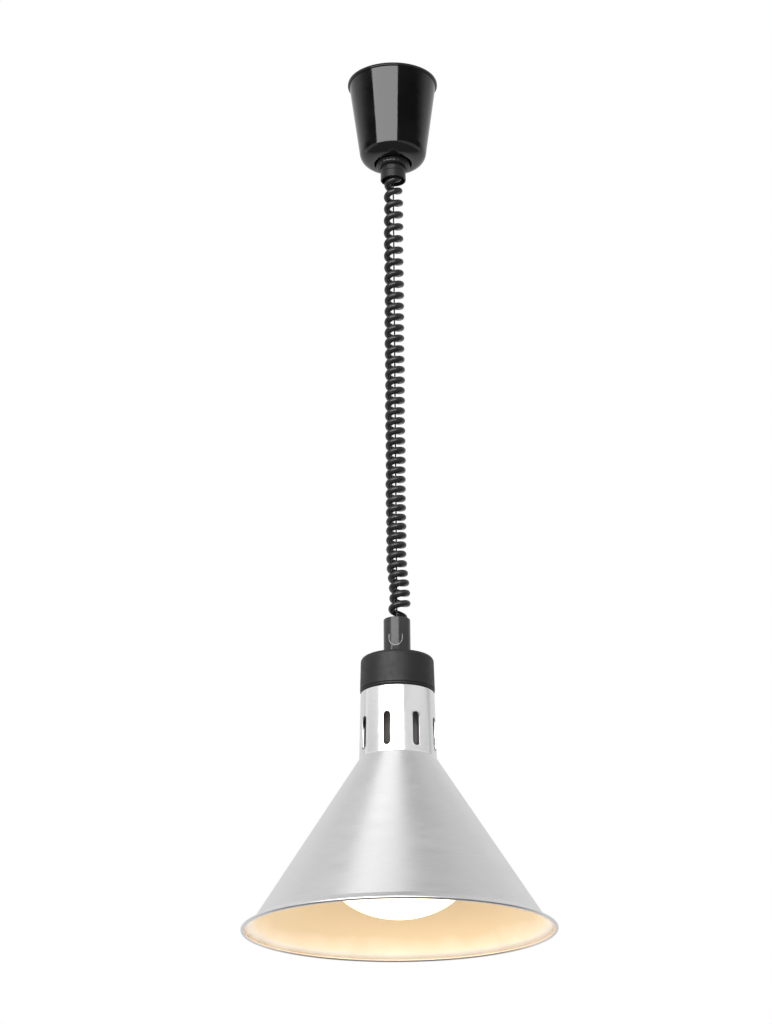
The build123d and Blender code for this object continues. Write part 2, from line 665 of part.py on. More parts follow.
# The centre contact is a bent strip: a foot under its rivet, a slope, and a pad on the bulb
CONTACT_T = 0.5
CONTACT_HALF_WIDTH = 2.5
PAD_Z = BULB_CONTACT_Z + 0.1
with BuildPart() as centre_contact:
    with BuildSketch(Plane.XZ.offset(-CONTACT_HALF_WIDTH)):
        with BuildLine():
            Polyline(
                (-6.5, HOLDER_STEP_Z),
                (-2.4, HOLDER_STEP_Z),
                (0.8, PAD_Z + CONTACT_T),
                (3.0, PAD_Z + CONTACT_T),
                (3.0, PAD_Z),
                (0.4, PAD_Z),
                (-2.7, HOLDER_STEP_Z - CONTACT_T),
                (-6.5, HOLDER_STEP_Z - CONTACT_T),
                close=True,
            )
        make_face()
    extrude(amount=2 * CONTACT_HALF_WIDTH)
save(centre_contact.part, "centre_contact")

# The two leads go from the flex's end through the nipple to the well in the holder
LEAD_R = 0.9
LEAD_Y = 1.5
LEAD_X = 1.2
for name, y in (("lead_live", LEAD_Y), ("lead_neutral", -LEAD_Y)):
    flexible(
        name,
        [
            (FLEX_X, y, INSERT_END_Z),
            (FLEX_X, y, INSERT_END_Z - 5.0),
            (LEAD_X, y, POST_FLOOR_Z + 2.0),
            (LEAD_X, y, STRAP_Z + 7.0),
            (LEAD_X - 0.2, y, WELL_Z),
        ],
        LEAD_R,
    )

# ---------------------------------------------------------------- shade
FLANGE_BORE_R = 22.5
NECK_EDGE_R = 1.6
NECK_BEND_R = 3.0
BRIM_BEND_R = 4.0
with BuildPart() as shade:
    with BuildSketch(Plane.XZ):
        with BuildLine() as sheet_line:
            FilletPolyline(
                (FLANGE_BORE_R, NECK_TOP_Z),
                (NECK_TOP_R, NECK_TOP_Z),
                (NECK_BOTTOM_R, NECK_BOTTOM_Z),
                (CONE_END_R, CONE_END_Z),
                (RIM_R - BEAD_EDGE_R, RIM_Z + 0.4),
                radius=[NECK_EDGE_R, NECK_BEND_R, BRIM_BEND_R],
            )
            offset(amount=SHEET, side=Side.RIGHT)
        make_face()
        with Locations((RIM_R - BEAD_EDGE_R, RIM_Z - 0.7)):
            Circle(BEAD_EDGE_R)
    revolve(axis=Axis.Z)
    # vents round the neck, counted from the front
    for i in range(VENT_COUNT):
        turn = radians(VENT_FIRST_DEG + i * 360 / VENT_COUNT)
        outwards = Vector(sin(turn), -cos(turn), 0)
        centre = outwards * (NECK_BOTTOM_R + 1) + Vector(0, 0, VENT_Z)
        with BuildSketch(Plane(centre, x_dir=(0, 0, 1), z_dir=outwards)):
            SlotOverall(VENT_LENGTH, VENT_WIDTH)
        extrude(amount=-5 * SHEET, mode=Mode.SUBTRACT)
save(shade.part, "shade")

# ---------------------------------------------------------------- bulb
BULB_WIDEST_Z = BULB_FACE_Z + BULB_DEPTH
BULB_NECK_R = 19.0
BULB_NECK_Z = -692.0
BULB_CONE_AT = (44.0, -742.0)
SEAL_R = 11.6
SEAL_Z = -660.0
SEAL_END_Z = -666.5


def bulb_section(inset):
    """The glass's half section: a reflector cone on a domed face, inset from the outside."""
    seal = (SEAL_R - inset, SEAL_Z)
    seal_end = (SEAL_R - inset, SEAL_END_Z)
    neck = (BULB_NECK_R - inset, BULB_NECK_Z)
    widest = (BULB_R - inset, BULB_WIDEST_Z)
    with BuildSketch(Plane.XZ) as section:
        with BuildLine():
            Line(seal, seal_end)
            Spline(seal_end, neck, tangents=((0, -1), (0.45, -1)))
            Spline(
                neck, (BULB_CONE_AT[0] - inset, BULB_CONE_AT[1]), widest, tangents=((0.45, -1), (0, -1))
            )
            EllipticalCenterArc(
                (0, BULB_WIDEST_Z), BULB_R - inset, BULB_DEPTH - inset, start_angle=270, arc_size=90
            )
            Line((0, BULB_FACE_Z + inset), (0, SEAL_Z))
            Line((0, SEAL_Z), seal)
        make_face()
    return section.sketch


with BuildPart() as bulb_glass:
    revolve(bulb_section(0), axis=Axis.Z)
    revolve(bulb_section(GLASS_T), axis=Axis.Z, mode=Mode.SUBTRACT)
save(bulb_glass.part, "bulb_glass")

CAP_SHELL_T = 0.4
BULB_CAP_TOP_Z = BULB_CONTACT_Z - 3.0
BULB_CAP_END_Z = SEAL_END_Z
BULB_CAP_R = THREAD_CREST_R - 0.9
CREST_COUNT = 5
CREST_R = 1.0
INSULATOR_R = 8.0
TIP_R = 4.6
TIP_T = 0.8
with BuildPart() as bulb_cap:
    extrude(disc(BULB_CAP_TOP_Z, BULB_CAP_R), amount=BULB_CAP_END_Z - BULB_CAP_TOP_Z)
    for i in range(CREST_COUNT):
        crest_z = BULB_CAP_TOP_Z - 3.0 - i * THREAD_PITCH
        with BuildSketch(Plane.XZ):
            with Locations((THREAD_CREST_R - CREST_R, crest_z)):
                Circle(CREST_R)
        revolve(axis=Axis.Z)
    inside = disc(BULB_CAP_END_Z, SEAL_R)
    extrude(inside, amount=BULB_CAP_TOP_Z - CAP_SHELL_T - BULB_CAP_END_Z, mode=Mode.SUBTRACT)
    extrude(disc(BULB_CAP_TOP_Z, INSULATOR_R), amount=-CAP_SHELL_T, mode=Mode.SUBTRACT)
save(bulb_cap.part, "bulb_cap")

with BuildPart() as bulb_insulator:
    loft([disc(BULB_CAP_TOP_Z, INSULATOR_R), disc(BULB_CONTACT_Z - TIP_T, TIP_R)])
    extrude(disc(BULB_CAP_TOP_Z, INSULATOR_R), amount=-CAP_SHELL_T)
save(bulb_insulator.part, "bulb_insulator")

with BuildPart() as bulb_tip:
    extrude(disc(BULB_CONTACT_Z - TIP_T, TIP_R), amount=TIP_T)
    fillet(bulb_tip.edges().group_by(Axis.Z)[-1], TIP_T / 2)
save(bulb_tip.part, "bulb_tip")

STEM_R = 5.0
STEM_END_Z = -712.0
with BuildPart() as bulb_stem:
    extrude(disc(SEAL_Z, SEAL_R - GLASS_T), amount=-GLASS_T)
    extrude(disc(SEAL_Z - GLASS_T, STEM_R), amount=STEM_END_Z - SEAL_Z + GLASS_T)
    fillet(bulb_stem.edges().group_by(Axis.Z)[0], 1.5)
save(bulb_stem.part, "bulb_stem")

# The filament is a half ring held on two wires that spread from the stem
FILAMENT_Z = -742.0
FILAMENT_RING_R = 16.0
FILAMENT_R = 0.6
SUPPORT_FOOT_X = 2.6
with BuildPart() as filament_supports:
    for side in (-1, 1):
        foot = disc(STEM_END_Z, FILAMENT_R, at=(side * SUPPORT_FOOT_X, 0))
        head = disc(FILAMENT_Z + FILAMENT_R, FILAMENT_R, at=(side * FILAMENT_RING_R, 0))
        loft([foot, head])
save(filament_supports.part, "filament_supports")

with BuildPart() as bulb_filament:
    with BuildSketch(Plane.XZ):
        with Locations((FILAMENT_RING_R, FILAMENT_Z)):
            Circle(FILAMENT_R)
    revolve(axis=Axis.Z, revolution_arc=180)
save(bulb_filament.part, "bulb_filament")

print("reel turns per metre of travel", round(1000 / (2 * pi * REEL_WIRE_R), 2))
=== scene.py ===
"""Rise-and-fall heat lamp: its visible pieces, materials, light and camera.

Metres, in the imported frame: +Z up, the ceiling at Z 0, the front towards -Y. Sizes of pieces
are written in millimetres and turned into metres where a mesh or curve is made.
"""

import json
from math import asin, atan2, cos, hypot, pi, radians, sin, tan

import bmesh
import bpy
import numpy as np
from mathutils import Matrix, Vector


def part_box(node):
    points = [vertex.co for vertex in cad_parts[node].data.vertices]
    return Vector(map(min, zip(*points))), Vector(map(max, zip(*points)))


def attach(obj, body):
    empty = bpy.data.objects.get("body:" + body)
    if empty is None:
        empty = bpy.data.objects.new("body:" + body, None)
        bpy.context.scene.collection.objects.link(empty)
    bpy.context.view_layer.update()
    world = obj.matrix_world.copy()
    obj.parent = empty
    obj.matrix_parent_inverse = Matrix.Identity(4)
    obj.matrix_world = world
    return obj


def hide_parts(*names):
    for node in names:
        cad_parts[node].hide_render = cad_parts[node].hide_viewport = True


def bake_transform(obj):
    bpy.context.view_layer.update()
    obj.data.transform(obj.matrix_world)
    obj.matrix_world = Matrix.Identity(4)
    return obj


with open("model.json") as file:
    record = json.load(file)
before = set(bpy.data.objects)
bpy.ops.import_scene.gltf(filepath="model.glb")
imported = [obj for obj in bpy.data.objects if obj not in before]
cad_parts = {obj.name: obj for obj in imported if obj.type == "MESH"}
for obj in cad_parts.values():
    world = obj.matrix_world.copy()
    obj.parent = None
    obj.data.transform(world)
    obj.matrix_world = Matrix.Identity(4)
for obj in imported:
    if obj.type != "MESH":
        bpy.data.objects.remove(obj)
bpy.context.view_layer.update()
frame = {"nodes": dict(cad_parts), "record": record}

MM = 0.001
SLOTS = {part["node"]: part["material_slot"] for part in frame["record"]["subparts"]}


# ---------------------------------------------------------------- levels and radii, from the frame
def top(node):
    """A node's highest level, in mm."""
    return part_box(node)[1].z / MM


def end(node):
    """A node's lowest level, in mm."""
    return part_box(node)[0].z / MM


def reach(node):
    """A turned node's largest radius, in mm."""
    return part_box(node)[1].x / MM


# ---------------------------------------------------------------- mesh helpers
def rounded(corners, closed=False, steps=6):
    """The points of an outline whose corners (r, z) or (r, z, bend) are rounded to their bend.

    A round has a support point just outside each end, which keeps the flats beside it flat.
    """
    count = len(corners)
    points = []
    for i, corner in enumerate(corners):
        here = Vector(corner[:2])
        bend = corner[2] if len(corner) > 2 else 0
        if bend == 0 or (not closed and i in (0, count - 1)):
            points.append(tuple(here))
            continue
        before = (Vector(corners[i - 1][:2]) - here).normalized()
        after = (Vector(corners[(i + 1) % count][:2]) - here).normalized()
        half = before.angle(after) / 2
        tangent = bend / tan(half)
        centre = here + (before + after).normalized() * bend / sin(half)
        first, last = here + before * tangent, here + after * tangent
        support = 0.25 * bend
        start = atan2(first.y - centre.y, first.x - centre.x)
        turn = atan2(last.y - centre.y, last.x - centre.x) - start
        turn = (turn + pi) % (2 * pi) - pi
        points.append(tuple(first + before * support))
        for k in range(steps + 1):
            angle = start + turn * k / steps
            points.append((centre.x + bend * cos(angle), centre.y + bend * sin(angle)))
        points.append(tuple(last + after * support))
    return points


def arc(centre, radius, start_deg, end_deg, steps):
    """Points on an arc of an outline."""
    angles = np.radians(np.linspace(start_deg, end_deg, steps + 1))
    return [(centre[0] + radius * cos(a), centre[1] + radius * sin(a)) for a in angles]


def densely(points, longest):
    """The outline with its long runs divided."""
    result = [points[0]]
    for a, b in zip(points, points[1:]):
        parts = max(1, int(np.ceil(hypot(b[0] - a[0], b[1] - a[1]) / longest)))
        for k in range(1, parts + 1):
            result.append((a[0] + (b[0] - a[0]) * k / parts, a[1] + (b[1] - a[1]) * k / parts))
    return result


def even_angles(columns, first=0.0):
    """Angles all round, counted from the front (-Y) towards +X."""
    return first + np.arange(columns) * 2 * pi / columns


def ring_point(radius, angle, z):
    """A point in metres at an angle counted from the front (-Y) towards +X."""
    return (radius * sin(angle) * MM, -radius * cos(angle) * MM, z * MM)


class Skin:
    """Collects vertices and faces for one mesh."""

    def __init__(self):
        self.points = []
        self.faces = []
        self.tags = []

    def ring(self, radius, z, angles, shape=None):
        """One ring of vertices, or the single vertex of an outline's end on the axis."""
        start = len(self.points)
        if radius < 1e-6:
            self.points.append((0, 0, z * MM))
            return [start]
        for a in angles:
            r = radius if shape is None else shape(radius, a, z)
            self.points.append(ring_point(r, a, z))
        return list(range(start, start + len(angles)))

    def between(self, one, two, tag=0, closed=True):
        """Faces between two rings."""
        if len(one) == 1 and len(two) == 1:
            return
        count = max(len(one), len(two))
        for k in range(count if closed else count - 1):
            j = (k + 1) % count
            if len(one) == 1:
                self.faces.append((one[0], two[j], two[k]))
            elif len(two) == 1:
                self.faces.append((one[k], one[j], two[0]))
            else:
                self.faces.append((one[k], one[j], two[j], two[k]))
            self.tags.append(tag)

    def turned(self, outline, angles, closed=True, tags=0, shape=None):
        """Faces of an outline turned about Z. tags is their material, or gives each run's own."""
        rings = [self.ring(r, z, angles, shape) for r, z in outline]
        runs = len(rings) if closed else len(rings) - 1
        for i in range(runs):
            tag = tags(outline[i], outline[(i + 1) % len(outline)]) if callable(tags) else tags
            self.between(rings[i], rings[(i + 1) % len(rings)], tag)
        return rings

    def build(self, name, finishes, weld=1e-7):
        """The finished object, smooth, with doubled points joined and its faces turned outwards."""
        mesh = bpy.data.meshes.new(name)
        mesh.from_pydata(self.points, [], self.faces)
        for finish in finishes:
            mesh.materials.append(finish)
        mesh.polygons.foreach_set("material_index", self.tags)
        work = bmesh.new()
        work.from_mesh(mesh)
        bmesh.ops.remove_doubles(work, verts=work.verts, dist=weld)
        bmesh.ops.recalc_face_normals(work, faces=work.faces)
        work.to_mesh(mesh)
        work.free()
        mesh.shade_smooth()
        mesh.update()
        piece = bpy.data.objects.new(name, mesh)
        bpy.context.collection.objects.link(piece)
        return piece


def finish_piece(piece, body, *nodes):
    """Puts a piece on its body in place of CAD nodes, which it hides."""
    if body:
        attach(piece, body)
    if nodes:
        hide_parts(*nodes)
    return piece


# ---------------------------------------------------------------- materials
class Finish:
    """A node material round one Principled shader."""

    def __init__(self, name, colour, roughness, metallic=0.0, **sockets):
        self.material = bpy.data.materials.new(name)
        self.material.use_nodes = True
        self.tree = self.material.node_tree
        self.shader = self.tree.nodes["Principled BSDF"]
        self.coords = self.tree.nodes.new("ShaderNodeTexCoord").outputs["Object"]
        self.shader.inputs["Base Color"].default_value = (*colour, 1)
        self.shader.inputs["Roughness"].default_value = roughness
        self.shader.inputs["Metallic"].default_value = metallic
        for socket, value in sockets.items():
            self.shader.inputs[socket.replace("_", " ")].default_value = value
        self.material.diffuse_color = (*colour, 1)

    def node(self, kind, **settings):
        made = self.tree.nodes.new("ShaderNode" + kind)
        for name, value in settings.items():
            setattr(made, name, value)
        return made

    def link(self, source, target):
        self.tree.links.new(source, target)

    def maths(self, operation, a, b=0.0):
        """The output of a Math node on sockets or numbers."""
        made = self.node("Math", operation=operation)
        for slot, value in zip(made.inputs, (a, b)):
            if isinstance(value, (int, float)):
                slot.default_value = value
            else:
                self.link(value, slot)
        return made.outputs[0]

    def stretched(self, x, y, z):
        """Object coordinates with each axis scaled."""
        made = self.node("Mapping")
        made.inputs["Scale"].default_value = (x, y, z)
        self.link(self.coords, made.inputs["Vector"])
        return made.outputs[0]

    def turned_coords(self):
        """X, Y and Z of the object coordinates, and the distance from the axis."""
        parts = self.node("SeparateXYZ")
        self.link(self.coords, parts.inputs[0])
        x, y, z = parts.outputs
        squares = self.maths("ADD", self.maths("POWER", x, 2), self.maths("POWER", y, 2))
        return x, y, z, self.maths("SQRT", squares)

    def noise(self, scale, detail=3.0, rough=0.5, coords=None):
        made = self.node("TexNoise")
        made.inputs["Scale"].default_value = scale
        made.inputs["Detail"].default_value = detail
        made.inputs["Roughness"].default_value = rough
        self.link(coords or self.coords, made.inputs["Vector"])
        return made.outputs["Fac"]

    def between(self, mask, low, high, start=0.35, stop=0.65):
        """mask's start to stop mapped onto low to high."""
        made = self.node("MapRange")
        self.link(mask, made.inputs["Value"])
        made.inputs["From Min"].default_value = start
        made.inputs["From Max"].default_value = stop
        made.inputs["To Min"].default_value = low
        made.inputs["To Max"].default_value = high
        return made.outputs["Result"]

    def ramp(self, mask, *stops):
        """A colour for each (place, colour) along mask."""
        made = self.node("ValToRGB")
        elements = made.color_ramp.elements
        while len(elements) < len(stops):
            elements.new(0.5)
        for element, (place, colour) in zip(elements, stops):
            element.position = place
            element.color = (*colour, 1)
        self.link(mask, made.inputs["Fac"])
        return made.outputs["Color"]

    def tint(self, mask, dark, light, start=0.35, stop=0.65):
        """Base colour from dark to light along mask."""
        self.link(self.ramp(mask, (start, dark), (stop, light)), self.shader.inputs["Base Color"])

    def vary_roughness(self, mask, low, high):
        self.link(self.between(mask, low, high), self.shader.inputs["Roughness"])

    def bump(self, height, strength, distance, under=None):
        """Surface relief of height times distance, in metres, on top of another bump."""
        made = self.node("Bump")
        made.inputs["Strength"].default_value = strength
        made.inputs["Distance"].default_value = distance
        self.link(height, made.inputs["Height"])
        if under:
            self.link(under, made.inputs["Normal"])
        self.link(made.outputs["Normal"], self.shader.inputs["Normal"])
        return made.outputs["Normal"]


def shaded(colour, factor):
    """A colour made lighter or darker."""
    return tuple(min(1.0, c * factor) for c in colour)


def gloss_plastic(name, colour, low=0.05, high=0.12):
    """Moulded plastic with a polished face: faint flow marks and a few dull patches."""
    made = Finish(name, colour, low, IOR=1.5)
    patches = made.noise(22, 4)
    made.tint(patches, shaded(colour, 0.8), shaded(colour, 1.3))
    made.vary_roughness(patches, low, high)
    waves = made.bump(made.noise(90, 2), 0.12, 0.0004)
    made.bump(made.noise(1800, 2), 0.10, 0.00002, waves)
    return made.material


def satin_plastic(name, colour, low=0.36, high=0.48, grain=2600, relief=0.35):
    """Moulded plastic with a fine spark-eroded grain."""
    made = Finish(name, colour, low, IOR=1.42)
    patches = made.noise(35, 4)
    made.tint(patches, shaded(colour, 0.85), shaded(colour, 1.2))
    made.vary_roughness(made.noise(160, 3), low, high)
    made.bump(made.noise(grain, 3, 0.6), relief, 0.00006)
    return made.material


def cable_sheath(name, colour):
    """Extruded PVC: satin, with a slight orange peel and rubbed, duller patches."""
    made = Finish(name, colour, 0.24, IOR=1.5)
    rubbed = made.noise(260, 4)
    made.tint(rubbed, shaded(colour, 0.75), shaded(colour, 1.5))
    made.vary_roughness(rubbed, 0.19, 0.32)
    made.bump(made.noise(1500, 2), 0.2, 0.00005)
    return made.material


def rubber(name, colour):
    made = Finish(name, colour, 0.75, IOR=1.45)
    dust = made.noise(300, 4)
    made.tint(dust, shaded(colour, 0.8), shaded(colour, 1.5))
    made.vary_roughness(dust, 0.65, 0.85)
    made.bump(made.noise(2200, 3), 0.4, 0.00008)
    return made.material


def plated_steel(name, colour, low=0.22, high=0.38):
    """Zinc plating: soft spangle with drawn lines."""
    made = Finish(name, colour, low, 1.0)
    spangle = made.node("TexVoronoi", feature="SMOOTH_F1")
    spangle.inputs["Scale"].default_value = 420
    made.link(made.coords, spangle.inputs["Vector"])
    made.tint(spangle.outputs["Distance"], shaded(colour, 1.05), shaded(colour, 0.8), 0.1, 0.8)
    made.vary_roughness(made.noise(120, 4), low, high)
    made.bump(made.noise(900, 2, coords=made.stretched(1, 1, 12)), 0.15, 0.00003)
    return made.material


def turned_metal(name, colour, low=0.16, high=0.30):
    """Brass, nickel and other small turned metal: tarnish in patches and fine tool marks."""
    made = Finish(name, colour, low, 1.0)
    tarnish = made.noise(140, 5)
    made.tint(tarnish, shaded(colour, 0.72), shaded(colour, 1.08))
    made.vary_roughness(tarnish, high, low)
    made.bump(made.noise(700, 2, coords=made.stretched(0.4, 0.4, 9)), 0.18, 0.00003)
    return made.material


def wound_wire(name, colour):
    """Plastic coated steel rope: the lay of its strands shows through the coating."""
    made = Finish(name, colour, 0.4, IOR=1.5)
    wear = made.noise(500, 3)
    made.tint(wear, shaded(colour, 0.7), shaded(colour, 1.6))
    made.vary_roughness(wear, 0.32, 0.5)
    made.bump(made.noise(2500, 2), 0.2, 0.00004)
    return made.material


def glazed_ceramic(name, colour):
    """Steatite under a thin clear glaze, with specks."""
    made = Finish(name, colour, 0.14, IOR=1.55, Coat_Weight=0.4, Coat_Roughness=0.06)
    specks = made.noise(650, 2)
    made.tint(specks, shaded(colour, 0.72), colour, 0.25, 0.36)
    made.vary_roughness(made.noise(60, 3), 0.10, 0.24)
    made.bump(made.noise(140, 2), 0.1, 0.0003)
    return made.material


def nylon(name, colour):
    """Natural nylon, a little translucent."""
    made = Finish(name, colour, 0.35, IOR=1.53, Subsurface_Weight=0.15, Subsurface_Scale=0.002)
    cloud = made.noise(90, 4)
    made.tint(cloud, shaded(colour, 0.93), colour)
    made.vary_roughness(cloud, 0.3, 0.42)
    made.bump(made.noise(1200, 2), 0.15, 0.00005)
    return made.material


def small_glass(name, colour, transmission):
    made = Finish(name, colour, 0.03, IOR=1.5, Transmission_Weight=transmission)
    made.vary_roughness(made.noise(200, 2), 0.02, 0.06)
    made.bump(made.noise(260, 2), 0.08, 0.0002)
    return made.material


def glowing_filament(name, colour):
    made = Finish(name, colour, 0.5, Emission_Strength=30.0)
    coils = made.noise(3000, 1)
    glow = made.ramp(coils, (0.3, (1.0, 0.45, 0.12)), (0.7, (1.0, 0.8, 0.5)))
    made.link(glow, made.shader.inputs["Emission Color"])
    made.link(glow, made.shader.inputs["Base Color"])
    return made.material


def spun_aluminium(name, low, high, relief):
    """Spun sheet, brushed round its axis: short scratches in rings, faint spinning bands."""
    base = (0.80, 0.80, 0.805)
    made = Finish(name, base, low, 1.0)
    x, y, z, radius = made.turned_coords()
    # z - r falls all along cap, neck and cone
    across = made.maths("SUBTRACT", z, radius)

    def in_rings(density):
        """Coordinates that run round the axis, and density times faster across the rings."""
        ringwise = made.node("CombineXYZ")
        made.link(made.maths("DIVIDE", x, radius), ringwise.inputs[0])
        made.link(made.maths("DIVIDE", y, radius), ringwise.inputs[1])
        made.link(made.maths("MULTIPLY", across, density), ringwise.inputs[2])
        return ringwise.outputs[0]

    scratches = made.noise(7.0, 4, 0.7, in_rings(260))
    bands = made.noise(1.6, 3, 0.5, in_rings(40))
    grain = made.noise(900, 2, 0.6)
    made.tint(scratches, shaded(base, 0.92), shaded(base, 1.06), 0.25, 0.75)
    thin, broad = made.maths("MULTIPLY", scratches, 0.6), made.maths("MULTIPLY", bands, 0.4)
    mixed = made.maths("ADD", thin, broad)
    made.vary_roughness(mixed, low, high)
    fine = made.bump(scratches, relief, 0.00006)
    made.bump(grain, 0.12, 0.00003, fine)
    return made.material


# the radii between which the enamel turns from painted shade deep in the cone to painted light at the
# brim, in metres
ENAMEL_PAINTED_LIGHT_FADE = (0.119, 0.137)


def white_enamel(name):
    """White stoved enamel inside the shade, with painted shade (darker and warmer) deep in the cone
    round the bulb and painted light (paler) at the brim.
    """
    painted_shade_deep, pale = (0.66, 0.545, 0.365), (0.97, 0.87, 0.75)
    made = Finish(name, painted_shade_deep, 0.32, IOR=1.5)
    radius = made.turned_coords()[-1]
    cloud = made.maths("MULTIPLY", made.maths("SUBTRACT", made.noise(28, 3), 0.5), 0.012)
    # painted shade deep in the cone fading to painted light at the brim, by distance from the axis
    made.tint(made.between(made.maths("ADD", radius, cloud), 0, 1, *ENAMEL_PAINTED_LIGHT_FADE), painted_shade_deep, pale, 0, 1)
    made.vary_roughness(made.noise(110, 3), 0.30, 0.40)
    made.bump(made.noise(260, 2), 0.10, 0.00004)
    return made.material


def reflector_bulb(name, widest_z, face_z):
    """Glass silvered inside down to its widest ring, and frosted and glowing below it."""
    made = Finish(name, (0.9, 0.88, 0.85), 0.3, IOR=1.5)
    parts = made.node("SeparateXYZ")
    made.link(made.coords, parts.inputs[0])
    height = parts.outputs["Z"]
    ripple = made.maths("MULTIPLY", made.maths("SUBTRACT", made.noise(60, 3), 0.5), 0.003)
    depth = made.maths("ADD", height, ripple)
    silver = made.between(depth, 0.0, 1.0, widest_z * MM - 0.001, widest_z * MM + 0.004)
    made.link(silver, made.shader.inputs["Metallic"])
    frost = made.noise(900, 3)
    made.tint(frost, (0.80, 0.79, 0.77), (0.92, 0.91, 0.89))
    made.link(made.between(silver, 0.45, 0.16, 0, 1), made.shader.inputs["Roughness"])
    glow = made.between(depth, BULB_GLOW, 0.0, widest_z * MM - 0.028, widest_z * MM)
    made.link(glow, made.shader.inputs["Emission Strength"])
    warm = made.between(depth, 0.0, 1.0, face_z * MM, widest_z * MM)
    colour = made.ramp(warm, (0.0, (1.0, 0.68, 0.30)), (1.0, (1.0, 0.58, 0.22)))
    made.link(colour, made.shader.inputs["Emission Color"])
    made.bump(frost, 0.1, 0.00005)
    made.material.cycles.emission_sampling = "FRONT"
    return made.material


BULB_GLOW = 5.5
# from the bulb's widest ring down to its face
BULB_DEPTH = 39.0
FINISHES = {
    "black_gloss": gloss_plastic("black_gloss", (0.003, 0.003, 0.0033)),
    "black_satin": satin_plastic("black_satin", (0.009, 0.009, 0.0095), 0.46, 0.56),
    "black_flex": cable_sheath("black_flex", (0.009, 0.009, 0.010)),
    "black_wire": wound_wire("black_wire", (0.016, 0.016, 0.017)),
    "black_rubber": rubber("black_rubber", (0.020, 0.020, 0.021)),
    "zinc_steel": plated_steel("zinc_steel", (0.66, 0.67, 0.69)),
    "spring_steel": turned_metal("spring_steel", (0.28, 0.30, 0.36), 0.2, 0.3),
    "brass": turned_metal("brass", (0.80, 0.60, 0.27)),
    "nickel": turned_metal("nickel", (0.74, 0.71, 0.66), 0.10, 0.24),
    "solder": turned_metal("solder", (0.58, 0.58, 0.60), 0.3, 0.45),
    "tungsten": glowing_filament("tungsten", (1.0, 0.8, 0.5)),
    "white_nylon": nylon("white_nylon", (0.84, 0.84, 0.80)),
    "white_ceramic": glazed_ceramic("white_ceramic", (0.84, 0.82, 0.77)),
    "lead_brown": rubber("lead_brown", (0.14, 0.055, 0.022)),
    "lead_blue": rubber("lead_blue", (0.02, 0.10, 0.42)),
    "spun_aluminium": spun_aluminium("spun_aluminium", 0.30, 0.42, 0.22),
    "bulb_glass": reflector_bulb("bulb_glass", end("bulb_glass") + BULB_DEPTH, end("bulb_glass")),
    "black_glass": small_glass("black_glass", (0.01, 0.01, 0.014), 0.0),
    "clear_glass": small_glass("clear_glass", (0.93, 0.97, 0.96), 0.9),
}
ENAMEL = white_enamel("white_enamel")
NECK_METAL = spun_aluminium("neck_aluminium", 0.16, 0.22, 0.10)
BROWNED_BRASS = turned_metal("browned_brass", (0.10, 0.075, 0.045), 0.34, 0.5)
SLEEVE_FINISH = satin_plastic("sleeve_satin", (0.008, 0.008, 0.009), 0.24, 0.34, 1800, 0.12)
POST_FINISH = satin_plastic("post_satin", (0.020, 0.020, 0.021), 0.18, 0.24, 1800, 0.07)
# lighter grey on the tongue's raised line: a painted highlight where its edge catches the light
PAINTED_HIGHLIGHT_EDGE = satin_plastic("painted_highlight_edge", (0.26, 0.26, 0.265), 0.30, 0.40, 1800, 0.1)
# the lampholder's white porcelain drawn dark grey: painted shade for the dim inside of the neck
PAINTED_SHADE_STEATITE = glazed_ceramic("painted_shade_steatite", (0.17, 0.165, 0.16))

# the lampholder takes the painted shade grey in place of its white ceramic
UNLIKE_THEIR_SLOT = {"lampholder_body": PAINTED_SHADE_STEATITE}
for node, slot_name in SLOTS.items():
    for slot in frame["nodes"][node].material_slots:
        slot.material = UNLIKE_THEIR_SLOT.get(node, FINISHES[slot_name])


# ---------------------------------------------------------------- ceiling cup
# the radius of the hole in cup and collar that the sleeve passes through
SLEEVE_HOLE = 12.05


def ceiling_cup():
    """The glossy cup: a rolled lip, a long taper, a rounded foot and a recess round the outlet."""
    rim, foot = top("canopy_cup"), end("canopy_cup")
    lip_r = reach("canopy_cup")
    wall, lip_height = 2.2, 3.0
    top_r, foot_r, foot_bend = 42.2, 30.5, 12.6
    recess_r, recess_z = reach("locking_collar") + 1.2, top("locking_collar")
    outline = rounded([
        (SLEEVE_HOLE, recess_z),
        (recess_r, recess_z, 0.8),
        (recess_r, foot, 0.7),
        (foot_r, foot, foot_bend),
        (top_r - 0.4, rim - lip_height, 0.25),
        (lip_r, rim - lip_height, 0.9),
        (lip_r, rim, 0.9),
        (top_r - wall, rim, 0.5),
        (foot_r - wall, foot + wall, foot_bend - wall),
        (recess_r + wall, foot + wall, 0.4),
        (recess_r + wall, recess_z + wall, 0.6),
        (SLEEVE_HOLE, recess_z + wall),
    ], closed=True, steps=10)
    skin = Skin()
    skin.turned(outline, even_angles(160))
    return finish_piece(skin.build("ceiling_cup", [FINISHES["black_gloss"]]), "canopy", "canopy_cup")


ceiling_cup()


